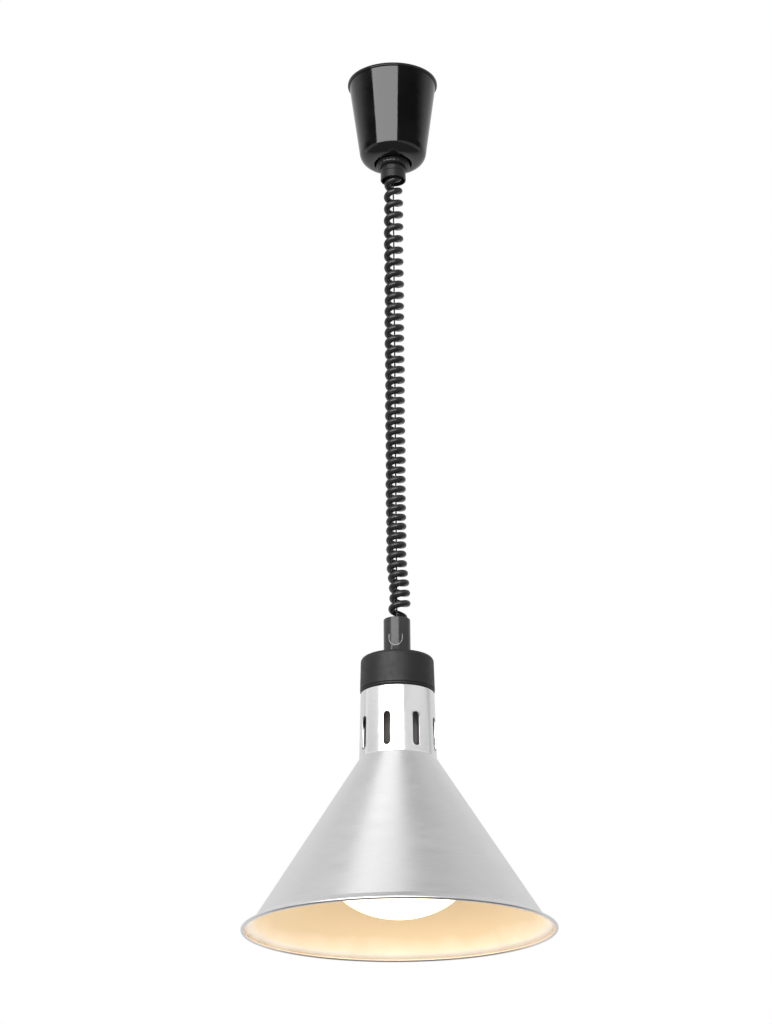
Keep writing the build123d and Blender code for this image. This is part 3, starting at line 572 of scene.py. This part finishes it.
# ---------------------------------------------------------------- outlet sleeve and collar
def sleeve():
    """The threaded sleeve: flange inside the cup, swelled mouth, and the web that holds the bead."""
    head, mouth = top("outlet_sleeve"), end("outlet_sleeve")
    web_end = top("spiral_cord")
    web_top = web_end + 3.2
    flange_r, flange_end = reach("outlet_sleeve"), top("locking_collar") + 2.2
    outer, lip, bore, mouth_bore = 11.9, 12.1, 10.4, 10.8
    bead_bore = reach("swivel_bead") + 0.05
    outline = rounded([
        (bore, head, 0.3),
        (outer, head, 0.4),
        (outer, flange_end + 2.0, 0.3),
        (flange_r, flange_end + 2.0, 0.4),
        (flange_r, flange_end, 0.4),
        (outer, flange_end, 0.2),
        (outer, mouth + 8.4, 0.6),
        (lip, mouth + 7.2, 0.6),
        (lip, mouth, 0.7),
        (mouth_bore, mouth, 0.5),
        (mouth_bore, web_end, 0.3),
        (bead_bore, web_end, 0.3),
        (bead_bore, web_top, 0.3),
        (bore, web_top, 0.3),
    ], closed=True, steps=5)
    skin = Skin()
    skin.turned(outline, even_angles(112))
    return finish_piece(skin.build("sleeve", [SLEEVE_FINISH]), "canopy", "outlet_sleeve")


def collar():
    """The screwed collar in the cup's recess, fluted for the fingers."""
    head, foot = top("locking_collar"), end("locking_collar")
    outer = reach("locking_collar")
    flutes = 24
    outline = rounded([
        (SLEEVE_HOLE, head, 0.3),
        (outer, head, 0.4),
        (outer, foot, 2.0),
        (SLEEVE_HOLE, foot, 0.4),
    ], closed=True, steps=6)
    outline = densely(outline + outline[:1], 1.6)[:-1]

    def fluted(radius, angle, z):
        hollow = max(0.0, (radius - outer + 1.2) / 1.2)
        return radius - 0.3 * hollow * (0.5 + 0.5 * cos(flutes * angle)) ** 6

    skin = Skin()
    skin.turned(outline, even_angles(8 * flutes), shape=fluted)
    return finish_piece(skin.build("collar", [SLEEVE_FINISH]), "canopy", "locking_collar")


# the wire leans up to 12 degrees to either side in the bead
BEAD_LEAN = radians(13.5)


def bead():
    """The bead that the wire hangs by, its bore opened at both ends so that the wire can lean."""
    radius, throat = reach("swivel_bead"), reach("support_wire") + 0.08
    centre = (top("swivel_bead") + end("swivel_bead")) / 2
    edge = BEAD_LEAN + asin(throat * cos(BEAD_LEAN) / radius)
    outline = [(radius * sin(a), centre + radius * cos(a)) for a in np.linspace(edge, pi - edge, 25)]
    skin = Skin()
    skin.turned(outline + [(throat, centre)], even_angles(64))
    return finish_piece(skin.build("bead", [BROWNED_BRASS]), "swivel", "swivel_bead")


sleeve()
collar()
bead()


# ---------------------------------------------------------------- flex and support wire
def tube(name, path, radius_at, sides, material):
    """A capped mesh tube along path; radius_at(ring, angle) gives its radius."""
    path = [Vector(p) for p in path]
    tangents = []
    for i, point in enumerate(path):
        before = path[max(i - 1, 0)]
        after = path[min(i + 1, len(path) - 1)]
        tangents.append((after - before).normalized())
    side = tangents[0].orthogonal().normalized()
    points, faces = [], []
    for i, (point, tangent) in enumerate(zip(path, tangents)):
        side = (side - tangent * side.dot(tangent)).normalized()
        other = tangent.cross(side)
        for k in range(sides):
            angle = 2 * pi * k / sides
            radius = radius_at(i, angle)
            points.append(point + side * radius * cos(angle) + other * radius * sin(angle))
    for i in range(len(path) - 1):
        for k in range(sides):
            a, b = i * sides + k, i * sides + (k + 1) % sides
            faces.append((a, b, b + sides, a + sides))
    for ring, turned in ((0, True), (len(path) - 1, False)):
        loop = [ring * sides + k for k in range(sides)]
        faces.append(tuple(reversed(loop)) if turned else tuple(loop))
    mesh = bpy.data.meshes.new(name)
    mesh.from_pydata(points, [], faces)
    mesh.materials.append(material)
    mesh.shade_smooth()
    piece = bpy.data.objects.new(name, mesh)
    bpy.context.collection.objects.link(piece)
    return piece


def spline_points(controls, resolution):
    """Points of the NURBS spline that has these control points, given in metres."""
    curve = bpy.data.curves.new("route", "CURVE")
    curve.dimensions = "3D"
    curve.resolution_u = resolution
    spline = curve.splines.new("NURBS")
    spline.points.add(len(controls) - 1)
    for point, place in zip(spline.points, controls):
        point.co = (*place, 1)
    spline.order_u = 3
    spline.use_endpoint_u = True
    route = bpy.data.objects.new("route", curve)
    mesh = bpy.data.meshes.new_from_object(route)
    points = [v.co.copy() for v in mesh.vertices]
    bpy.data.meshes.remove(mesh)
    bpy.data.objects.remove(route)
    bpy.data.curves.remove(curve)
    return points


def stretch_between(piece, weights):
    """Works out each vertex's share of the stretch, from the suspension (weight 0) to the lamp head
    (weight 1), and leaves the piece as it was.
    """
    mesh = piece.data
    rest = [v.co.copy() for v in mesh.vertices]
    for vertex, weight in zip(mesh.vertices, weights):
        share = 0.5 - sin(asin(1 - 2 * min(1.0, max(0.0, weight))) / 3)
        vertex.co = (0, 0, -share)
    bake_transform(piece)
    for vertex, place in zip(mesh.vertices, rest):
        vertex.co = place


FLEX_R = 3.0
FLEX_COIL_R = 6.4
# where it leaves the sleeve's web and enters the post
FLEX_X = 6.3
FLEX_TURNS = 42
FLEX_STEPS = 12
# the steps at each end that the given points stand for
FLEX_END_STEPS = 3
# how far apart the turns would lie if they were pressed together
FLEX_CLOSED_PITCH = 5.9
# open space at the top that doesn't stretch, so the first turn stays clear of the sleeve
FLEX_HELD = 10.0
# how far apart the turns lie, from the top down: (turn, pitch)
FLEX_PITCHES = (
    (0, 11.0), (1, 12.9), (4, 12.7), (10, 11.4), (20, 10.3), (34, 8.9), (39, 9.5), (42, 10.6)
)


def flex_controls():
    """The curly flex's helix, right-handed, from the sleeve's web down to the post's insert."""
    head, foot = top("spiral_cord"), end("spiral_cord")
    first_level, last_level = head - 5.5, foot + 7.7
    turns, pitches = zip(*FLEX_PITCHES)
    count = FLEX_TURNS * FLEX_STEPS
    share = np.arange(count + 1) / FLEX_STEPS
    drop = np.cumsum(np.interp(share, turns, pitches))
    drop = (drop - drop[0]) / (drop[-1] - drop[0])
    levels = first_level + (last_level - first_level) * drop
    # straight out of the web, then round into the first turn
    points = [
        (FLEX_X, 0, head),
        (FLEX_X, 0, head - 2.1),
        (5.4, -2.3, head - 5.5),
        (3.1, -4.8, head - 7.2),
    ]
    coiled = slice(FLEX_END_STEPS, -FLEX_END_STEPS)
    for turn, z in zip(share[coiled], levels[coiled]):
        # the lowest turns lean to one side, and no turn is quite like the next
        leaning = np.interp(turn, (36, 37.5, 39.5, 41, 41.8), (0, 0.7, 2.5, 2.8, 1.0))
        radius = FLEX_COIL_R + 0.1 * leaning + 0.12 * sin(1.9 * turn) * sin(0.37 * turn + 1)
        # the turn in the sleeve's mouth is smaller, which leaves it room to swing
        radius -= np.interp(turn, (0.9, 1.6), (0.8, 0))
        radius /= cos(pi / FLEX_STEPS)
        angle = -2 * pi * turn
        x = radius * cos(angle) + leaning + 0.15 * sin(0.8 * turn)
        y = radius * sin(angle) + 0.15 * sin(0.5 * turn + 2)
        points.append((x, y, z + 0.12 * sin(2.3 * turn)))
    # and out of the last one straight into the post
    points += [
        (4.8, 5.9, foot + 8.5),
        (6.9, 3, foot + 6),
        (FLEX_X, 0, foot + 2.3),
        (FLEX_X, 0, foot),
    ]
    return [Vector(p) * MM for p in points]


def curly_flex():
    """The flex between the ceiling cup and the lamp head, which stretches as the lamp is lowered."""
    head, foot = top("spiral_cord"), end("spiral_cord")
    path = spline_points(flex_controls(), 4)
    sides = 16
    piece = tube("curly_flex", path, lambda i, angle: FLEX_R * MM, sides, FINISHES["black_flex"])
    # a ring's share of the stretch: how much open space between turns lies above it
    slack = (head - foot) - FLEX_CLOSED_PITCH * FLEX_TURNS
    weights = []
    for i, point in enumerate(path):
        turns_above = FLEX_TURNS * i / (len(path) - 1)
        above = (head - point.z / MM) - FLEX_CLOSED_PITCH * turns_above
        weights += [(above - FLEX_HELD) / (slack - FLEX_HELD)] * sides
    finish_piece(piece, None, "spiral_cord")
    stretch_between(piece, weights)
    return piece


def wire_rope():
    """The coated steel rope: six strands whose lay shows as twisted lobes."""
    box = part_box("support_wire")
    head, foot = box[1].z, box[0].z
    rings = 420
    strands, lay, radius = 6, 0.009, box[1].x
    path = [Vector((0, 0, head + (foot - head) * i / rings)) for i in range(rings + 1)]
    spacing = (head - foot) / rings

    def lobed(i, angle):
        return radius * (0.93 + 0.07 * cos(strands * (angle + 2 * pi * i * spacing / lay)))

    sides = 24
    piece = tube("wire_rope", path, lobed, sides, FINISHES["black_wire"])
    finish_piece(piece, None, "support_wire")
    stretch_between(piece, [i / rings for i in range(rings + 1) for _ in range(sides)])
    return piece


curly_flex()
wire_rope()


# ---------------------------------------------------------------- cord grip post
# the snap tongue: where it faces, half its width, its round end's depth and how far it stands out
TONGUE_TURN = radians(-6.5)
TONGUE_HALF = 6.3
TONGUE_DEPTH = 7.8
TONGUE_RISE = 0.16
# the raised line along its edge: its height and half its width
TONGUE_LINE_RISE = 0.42
TONGUE_LINE_HALF = 0.42


def tongue_inside(angle, z, radius, post_end):
    """How far inside the tongue's outline a place on the post's wall is."""
    across = (angle - TONGUE_TURN) * radius
    centre_z = post_end + 9.3 + TONGUE_DEPTH
    below = max(0.0, (centre_z - z) / TONGUE_DEPTH) * TONGUE_HALF
    return TONGUE_HALF - hypot(across, below)


def tongue_relief(angle, z, radius, post_end):
    """How far the post's wall stands out at a place: a tongue with a raised edge, and ribs below."""
    across = (angle - TONGUE_TURN) * radius
    inside = tongue_inside(angle, z, radius, post_end)
    fade = min(1.0, max(0.0, (post_end + 22.0 - z) / 6.0))
    edge = min(1.0, max(0.0, inside / 0.5))
    raised = TONGUE_RISE * edge * edge * (3 - 2 * edge) * fade
    line = max(0.0, 1 - (inside / TONGUE_LINE_HALF) ** 2)
    raised += TONGUE_LINE_RISE * line * (2 - line) * fade
    ribs = 0.0
    if abs(across) < 3.0 and post_end + 3.6 < z < post_end + 8.4:
        flank = min(1.0, (3.0 - abs(across)) / 0.5)
        ribs = 0.22 * flank * (0.5 + 0.5 * cos(2 * pi * (z - post_end) / 1.2))
    return raised + ribs


def post():
    """The cord grip: a slightly tapered tube with a snap tongue on its front."""
    head, foot = top("cord_grip_post"), end("cord_grip_post")
    head_r, foot_r, bore = 12.1, reach("cord_grip_post") - 0.8, 9.6
    floor_top = foot + 2.5
    hole = 5.0
    front = np.linspace(radians(-48), radians(40), 176)
    rest = np.linspace(radians(40), radians(312), 90)[1:-1]
    angles = np.concatenate([front, rest])
    corners = (head_r - 1.5, head), (head_r, head, 0.6), (foot_r, foot, 0.2), (foot_r - 2, foot)
    outer = rounded(list(corners))
    outer = densely(outer, 0.16)
    inner = rounded([
        (hole, foot),
        (hole, floor_top, 0.3),
        (bore, floor_top, 0.8),
        (bore, head, 0.5),
        (head_r - 1.5, head),
    ])
    wall_top = head - 1.2

    def shape(radius, angle, z):
        if radius < bore + 1.5 or z > wall_top:
            return radius
        turned = (angle + pi) % (2 * pi) - pi
        if abs(turned) > radians(45):
            return radius
        return radius + tongue_relief(turned, z, head_r, foot)

    skin = Skin()
    skin.turned(outer, angles, closed=False, shape=shape)
    skin.turned([(foot_r - 2, foot), *inner], angles, closed=False)
    piece = skin.build("post", [POST_FINISH, PAINTED_HIGHLIGHT_EDGE])
    # faces along the tongue's raised line take the painted highlight
    for face in piece.data.polygons:
        centre = face.center / MM
        inside = tongue_inside(atan2(centre.x, -centre.y), centre.z, head_r, foot)
        if centre.y < -foot_r / 2 and abs(inside - 0.05) < 0.3 and centre.z < foot + 20.0:
            face.material_index = 1
    return finish_piece(piece, "lamp_head", "cord_grip_post")


post()


# ---------------------------------------------------------------- socket cap and ring
# the ring is drawn thinner than in CAD: its seam with the cap lower, its foot on the shade higher
SEAM_DROP = 1.9
FOOT_RISE = 1.3


def socket_cap():
    """The moulded cap over the lampholder."""
    head, foot = top("socket_cap"), end("socket_cap") - SEAM_DROP
    foot_r, wall = reach("socket_cap") - 0.4, 2.4
    head_r = foot_r - 0.8
    outline = rounded([
        (5.0, head),
        (head_r, head, 3.8),
        (foot_r, foot, 0.35),
        (foot_r - wall, foot, 0.2),
        (foot_r - wall, head - wall, 1.5),
        (5.0, head - wall),
    ], closed=True, steps=8)
    skin = Skin()
    skin.turned(outline, even_angles(144))
    return finish_piece(skin.build("cap", [FINISHES["black_satin"]]), "lamp_head", "socket_cap")


def shade_ring():
    """The ring between cap and shade: a shadow groove on top, and a bevelled foot."""
    head, foot = top("shade_ring") - SEAM_DROP, end("shade_ring") + FOOT_RISE
    outer, step_r, bore = reach("socket_cap") - 0.6, 32.6, 30.0
    bevel, foot_r = 0.7, 33.0
    outline = rounded([
        (bore, head, 0.2),
        (step_r, head, 0.1),
        (step_r, head - 0.35, 0.1),
        (outer, head - 0.35, 0.25),
        (outer, foot + bevel, 0.4),
        (foot_r, foot, 0.3),
        (bore, foot, 0.2),
    ], closed=True, steps=5)
    skin = Skin()
    skin.turned(outline, even_angles(144))
    return finish_piece(skin.build("ring", [FINISHES["black_satin"]]), "lamp_head", "shade_ring")


socket_cap()
shade_ring()


# ---------------------------------------------------------------- shade
SHEET = 1.2
VENTS = 8
VENT_COLUMNS = 28
VENT_ROWS = 24
VENT_RINGS = 6
VENT_LENGTH = 30.6
VENT_WIDTH = 6.4
VENT_FIRST = radians(-16.6)
VENT_BELOW_TOP = 39.2
# half the height of the band of cells that the vents are cut in
VENT_BAND = 18.4
# the shade's materials, by their place in its slots
CONE, ENAMELLED, NECK = range(3)


def slot_points(columns, rows):
    """A slot's outline, centred, as many points as a rectangle of that many columns and rows."""
    radius, straight = VENT_WIDTH / 2, VENT_LENGTH / 2 - VENT_WIDTH / 2
    corner = radians(25)
    side = [(radius, y) for y in np.linspace(-straight, straight, rows - 1)]
    low = (radius * cos(corner), -straight - radius * sin(corner))
    high = (radius * cos(corner), straight + radius * sin(corner))
    right = [low, *side, high]
    cap = [
        (radius * cos(a), straight + radius * sin(a))
        for a in np.linspace(corner, pi - corner, columns + 1)
    ]
    left = [(-x, -y) for x, y in right]
    foot = [(-x, -y) for x, y in cap]
    return right[:-1] + cap[:-1] + left[:-1] + foot[:-1]


def band_points(half_width, half_height, columns, rows):
    """The rectangle round a slot, in the same order as slot_points."""
    ys = np.linspace(-half_height, half_height, rows + 1)
    xs = np.linspace(half_width, -half_width, columns + 1)
    right = [(half_width, y) for y in ys]
    head = [(x, half_height) for x in xs]
    left = [(-x, -y) for x, y in right]
    foot = [(-x, -y) for x, y in head]
    return right[:-1] + head[:-1] + left[:-1] + foot[:-1]


def spun_shade():
    """One sheet: top flange, vented neck, cone, flared brim and the rim's rolled bead."""
    neck_top, rim_end = top("shade") + FOOT_RISE, end("shade")
    bead_r = 1.5
    bead_centre = (reach("shade") - bead_r, rim_end + bead_r)
    neck_r, neck_foot_r, neck_foot = 33.0, 34.5, top("shade") - 60.3
    cone_r, cone_foot = reach("shade") - 9.8, top("shade") - 206.3
    flange_bore = 22.5
    meets_bead = 60.0
    brim = (
        bead_centre[0] + bead_r * cos(radians(meets_bead)),
        bead_centre[1] + bead_r * sin(radians(meets_bead)),
    )
    outside = rounded([
        (flange_bore, neck_top),
        (neck_r, neck_top, 1.6),
        (neck_foot_r, neck_foot, 3.0),
        (cone_r, cone_foot, 4.0),
        (brim[0], brim[1]),
    ], steps=8)
    inside = rounded([
        (flange_bore, neck_top - SHEET),
        (neck_r - SHEET, neck_top - SHEET, 0.6),
        (neck_foot_r - SHEET, neck_foot + 0.35, 4.2),
        (cone_r - SHEET, cone_foot - 0.8, 2.8),
        (bead_centre[0] - 1.0, bead_centre[1] + 0.6),
    ], steps=8)
    bead = arc(bead_centre, bead_r, meets_bead, meets_bead - 281.5, 22)

    vent_z = top("shade") - VENT_BELOW_TOP
    band_top, band_foot = vent_z + VENT_BAND, vent_z - VENT_BAND
    angles = even_angles(VENTS * VENT_COLUMNS, VENT_FIRST - pi / VENTS)

    def neck_radius(z, inset):
        share = (neck_top - z) / (neck_top - neck_foot)
        return neck_r + (neck_foot_r - neck_r) * share - inset

    def split(outline, inset):
        """The outline above and below the vents' band, each with its own point on the border."""
        above = [p for p in outline if p[1] > band_top + 0.01]
        below = [p for p in outline if p[1] < band_foot - 0.01]
        above.append((neck_radius(band_top, inset), band_top))
        below.insert(0, (neck_radius(band_foot, inset), band_foot))
        return densely(above, 9.0), densely(below, 9.0)

    def neck_or_cone(a, b):
        return NECK if min(a[1], b[1]) > neck_foot - 0.5 else CONE

    skin = Skin()
    out_above, out_below = split(outside, 0)
    in_above, in_below = split(inside, SHEET)
    skin.turned(out_above, angles, closed=False, tags=neck_or_cone)
    skin.turned(out_below + bead[1:5], angles, closed=False, tags=neck_or_cone)
    skin.turned(bead[4:19], angles, closed=False, tags=CONE)
    skin.turned(bead[18:], angles, closed=False, tags=ENAMELLED)
    skin.turned([bead[-1], in_below[-1]], angles, closed=False, tags=ENAMELLED)
    skin.turned(in_below, angles, closed=False, tags=ENAMELLED)
    skin.turned(in_above, angles, closed=False, tags=CONE)
    skin.turned([out_above[0], in_above[0]], angles, closed=False, tags=CONE)

    # the vents' band, cell by cell: rings from each cell's border in to its slot, on both faces
    half_angle = pi / VENTS
    mean_r = neck_radius(vent_z, 0)
    border = band_points(half_angle * mean_r, VENT_BAND, VENT_COLUMNS, VENT_ROWS)
    slot_edge = slot_points(VENT_COLUMNS, VENT_ROWS)
    lip = 0.14
    for cell in range(VENTS):
        middle = VENT_FIRST + cell * 2 * half_angle

        def loop(share, inset, grown):
            """One ring of the cell: share 0 on its border, 1 on the slot's edge."""
            start = len(skin.points)
            for (bx, by), (sx, sy) in zip(border, slot_edge):
                size = hypot(sx, sy)
                gx, gy = sx * (1 + grown / size), sy * (1 + grown / size)
                x, y = bx + (gx - bx) * share, by + (gy - by) * share
                z = vent_z + y
                skin.points.append(ring_point(neck_radius(z, inset), middle + x / mean_r, z))
            return list(range(start, len(skin.points)))

        shares = np.linspace(0, 1, VENT_RINGS + 1)[1:]
        outer_loops = [loop(0, 0, 0)] + [loop(s, 0, lip) for s in shares]
        inner_loops = [loop(s, SHEET, lip) for s in reversed(shares)] + [loop(0, SHEET, 0)]
        steps = (0.04, 0.04), (lip, 0), (SHEET - lip, 0), (SHEET - 0.04, 0.04)
        rolled = [loop(1, *step) for step in steps]
        loops = outer_loops + rolled + inner_loops
        for i in range(len(loops) - 1):
            skin.between(loops[i], loops[i + 1], NECK)
    piece = skin.build("spun_shade", [FINISHES["spun_aluminium"], ENAMEL, NECK_METAL], weld=2e-6)
    return finish_piece(piece, "lamp_head", "shade")


spun_shade()


# ---------------------------------------------------------------- bulb
# the power of the face's superellipse; 2 would be an ellipse
BULB_ROUNDNESS = 1.85


def bend_between(start, start_way, stop, stop_way, steps=10):
    """Points of the smooth curve from start to stop that leaves and arrives along the given ways."""
    a, b = Vector(start), Vector(stop)
    span = (b - a).length
    ways = [Vector(way).normalized() * span for way in (start_way, stop_way)]
    points = []
    for t in np.linspace(0, 1, steps + 1):
        point = (
            a * (2 * t**3 - 3 * t**2 + 1)
            + ways[0] * (t**3 - 2 * t**2 + t)
            + b * (3 * t**2 - 2 * t**3)
            + ways[1] * (t**3 - t**2)
        )
        points.append(tuple(point))
    return points


def bulb_envelope():
    """The reflector bulb's glass: seal, neck, reflector cone and domed face."""
    head, face = top("bulb_glass"), end("bulb_glass")
    widest_r, widest = reach("bulb_glass"), face + BULB_DEPTH
    seal_r, neck, cone = 11.6, (19.0, head - 32.0), (44.0, head - 82.0)
    outline = [(0, head), (seal_r - 1.0, head), (seal_r, head - 1.0)]
    outline += bend_between((seal_r, head - 6.5), (0, -1), neck, (0.45, -1))
    outline += bend_between(neck, (0.45, -1), cone, (0.52, -1))[1:]
    outline += bend_between(cone, (0.52, -1), (widest_r, widest), (0, -1))[1:]
    for angle in np.radians(np.linspace(3, 90, 36)):
        out, down = cos(angle) ** (2 / BULB_ROUNDNESS), sin(angle) ** (2 / BULB_ROUNDNESS)
        outline.append((widest_r * out, widest - BULB_DEPTH * down))
    outline[-1] = (0, face)
    skin = Skin()
    skin.turned(outline, even_angles(128), closed=False)
    return finish_piece(skin.build("bulb_envelope", [FINISHES["bulb_glass"]]), "bulb", "bulb_glass")


bulb_envelope()


# ---------------------------------------------------------------- floor, light and camera
def area_light(name, centre, aim, width, height, radiance, colour=(1, 1, 1)):
    """A rectangular soft light; its power follows from the radiance that it should show."""
    data = bpy.data.lights.new(name, "AREA")
    data.shape = "RECTANGLE"
    data.size, data.size_y = width, height
    data.energy = radiance * pi * width * height
    data.color = colour
    light = bpy.data.objects.new(name, data)
    light.location = centre
    light.rotation_euler = (Vector(aim) - Vector(centre)).to_track_quat("-Z", "Y").to_euler()
    light.visible_camera = False
    bpy.context.collection.objects.link(light)
    return light


# (height of the direction, from -1 straight down to 1 straight up, and its light)
ROOM_STOPS = ((-0.2, 0.24), (0.0, 0.04), (0.29, 0.05), (0.34, 0.88), (0.85, 0.82), (0.96, 0.5))
# where the lights stand, and their radiance
SOFTBOX_HEADING = radians(-20)
SOFTBOX_AWAY = 2.5
PANEL_AWAY = 1.2
SOFTBOX = 6.0
OVERHEAD = 1.3
SIDE_PANEL = 0.51
FOOTLIGHT = 8.0
# so low that a view from straight below still stands above the floor
FLOOR_Z = -3.9
FLOOR_HALF = 45.0
FLOOR_WASH = 0.8
WASH_SIZE = 120.0


def studio():
    """A softbox at the front left, low reflectors, and a room that is white behind the lamp.

    The camera sees white all round; the lamp mirrors the room, which is darker in front.
    """
    world = bpy.data.worlds.new("studio")
    bpy.context.scene.world = world
    world.use_nodes = True
    nodes, links = world.node_tree.nodes, world.node_tree.links
    nodes.clear()
    coords = nodes.new("ShaderNodeTexCoord")
    parts = nodes.new("ShaderNodeSeparateXYZ")
    links.new(coords.outputs["Generated"], parts.inputs[0])
    behind = nodes.new("ShaderNodeMapRange")
    behind.interpolation_type = "SMOOTHSTEP"
    behind.inputs["From Max"].default_value = 0.6
    links.new(parts.outputs["Y"], behind.inputs["Value"])
    # the room's light by the height of the direction
    height = nodes.new("ShaderNodeMapRange")
    height.inputs["From Min"].default_value = -1.0
    links.new(parts.outputs["Z"], height.inputs["Value"])
    above = nodes.new("ShaderNodeValToRGB")
    elements = above.color_ramp.elements
    while len(elements) < len(ROOM_STOPS):
        elements.new(0.5)
    for element, (place, strength) in zip(elements, ROOM_STOPS):
        element.position = (place + 1) / 2
        element.color = (strength, strength, strength, 1)
    links.new(height.outputs["Result"], above.inputs["Fac"])
    brighter = nodes.new("ShaderNodeMath")
    brighter.operation = "MAXIMUM"
    links.new(behind.outputs["Result"], brighter.inputs[0])
    links.new(above.outputs["Color"], brighter.inputs[1])
    around = nodes.new("ShaderNodeBackground")
    links.new(brighter.outputs[0], around.inputs["Strength"])
    white = nodes.new("ShaderNodeBackground")
    white.inputs["Color"].default_value = (1, 1, 1, 1)
    seen = nodes.new("ShaderNodeLightPath")
    either = nodes.new("ShaderNodeMixShader")
    links.new(seen.outputs["Is Camera Ray"], either.inputs["Fac"])
    links.new(around.outputs[0], either.inputs[1])
    links.new(white.outputs[0], either.inputs[2])
    output = nodes.new("ShaderNodeOutputWorld")
    links.new(either.outputs[0], output.inputs["Surface"])

    x, y = SOFTBOX_AWAY * sin(SOFTBOX_HEADING), -SOFTBOX_AWAY * cos(SOFTBOX_HEADING)
    area_light("softbox", (x, y, 0.325), (0, 0, 0.325), 3.35, 1.45, SOFTBOX)
    # low reflectors at the sides, which the neck mirrors and the cup doesn't
    for name, heading, width in (("right_panel", 62, 2.4), ("left_panel", -84, 1.4)):
        x_side, y_side = PANEL_AWAY * sin(radians(heading)), -PANEL_AWAY * cos(radians(heading))
        area_light(name, (x_side, y_side, -0.33), (0, 0, -0.33), width, 0.46, SIDE_PANEL)
    # reaches under the near rim and lights the lower half of the far side's enamel
    warm = (1, 0.92, 0.80)
    low = area_light("footlight", (x, y, -1.08), (0, 0, -0.80), 3.0, 0.35, FOOTLIGHT, warm)
    low.visible_glossy = False
    # hangs below the lamp and shines down, so the lamp gets it only by way of the floor
    centre = (0, 0, FLOOR_Z + 1.2)
    wash = area_light("floor_wash", centre, (0, 0.001, FLOOR_Z), WASH_SIZE, WASH_SIZE, FLOOR_WASH)
    wash.visible_glossy = False
    area_light("overhead", (-0.34, -0.25, 0.95), (-0.34, -0.25, -1), 0.87, 0.5, OVERHEAD)


def floor():
    """A pale floor, wide enough that no view sees its edge near the lamp."""
    mesh = bpy.data.meshes.new("floor")
    sides = (-1, -1), (1, -1), (1, 1), (-1, 1)
    corners = [(FLOOR_HALF * x, FLOOR_HALF * y, FLOOR_Z) for x, y in sides]
    mesh.from_pydata(corners, [], [(0, 1, 2, 3)])
    paint = Finish("pale_floor", (0.80, 0.80, 0.80), 0.7)
    paint.tint(paint.noise(3, 3), (0.795, 0.795, 0.795), (0.805, 0.805, 0.805))
    mesh.materials.append(paint.material)
    piece = bpy.data.objects.new("floor", mesh)
    bpy.context.collection.objects.link(piece)
    piece.visible_glossy = False


CAMERA_LENS = 94.17
CAMERA_PLACE = (0, -2.300, -1.3001)
CAMERA_PITCH = 20.40
CAMERA_YAW = 0.228
CAMERA_ROLL = -0.40


def camera():
    """Low in front of the lamp, looking up at it."""
    data = bpy.data.cameras.new("camera")
    data.lens = CAMERA_LENS
    data.sensor_width = 36
    data.clip_end = 50
    view = bpy.data.objects.new("camera", data)
    yaw = Matrix.Rotation(radians(CAMERA_YAW), 3, "Z")
    pitch = Matrix.Rotation(pi / 2 + radians(CAMERA_PITCH), 3, "X")
    roll = Matrix.Rotation(radians(CAMERA_ROLL), 3, "Z")
    view.location = CAMERA_PLACE
    view.rotation_euler = (yaw @ pitch @ roll).to_euler()
    bpy.context.collection.objects.link(view)
    bpy.context.scene.camera = view


studio()
floor()
camera()
bpy.context.scene.view_settings.view_transform = "Standard"
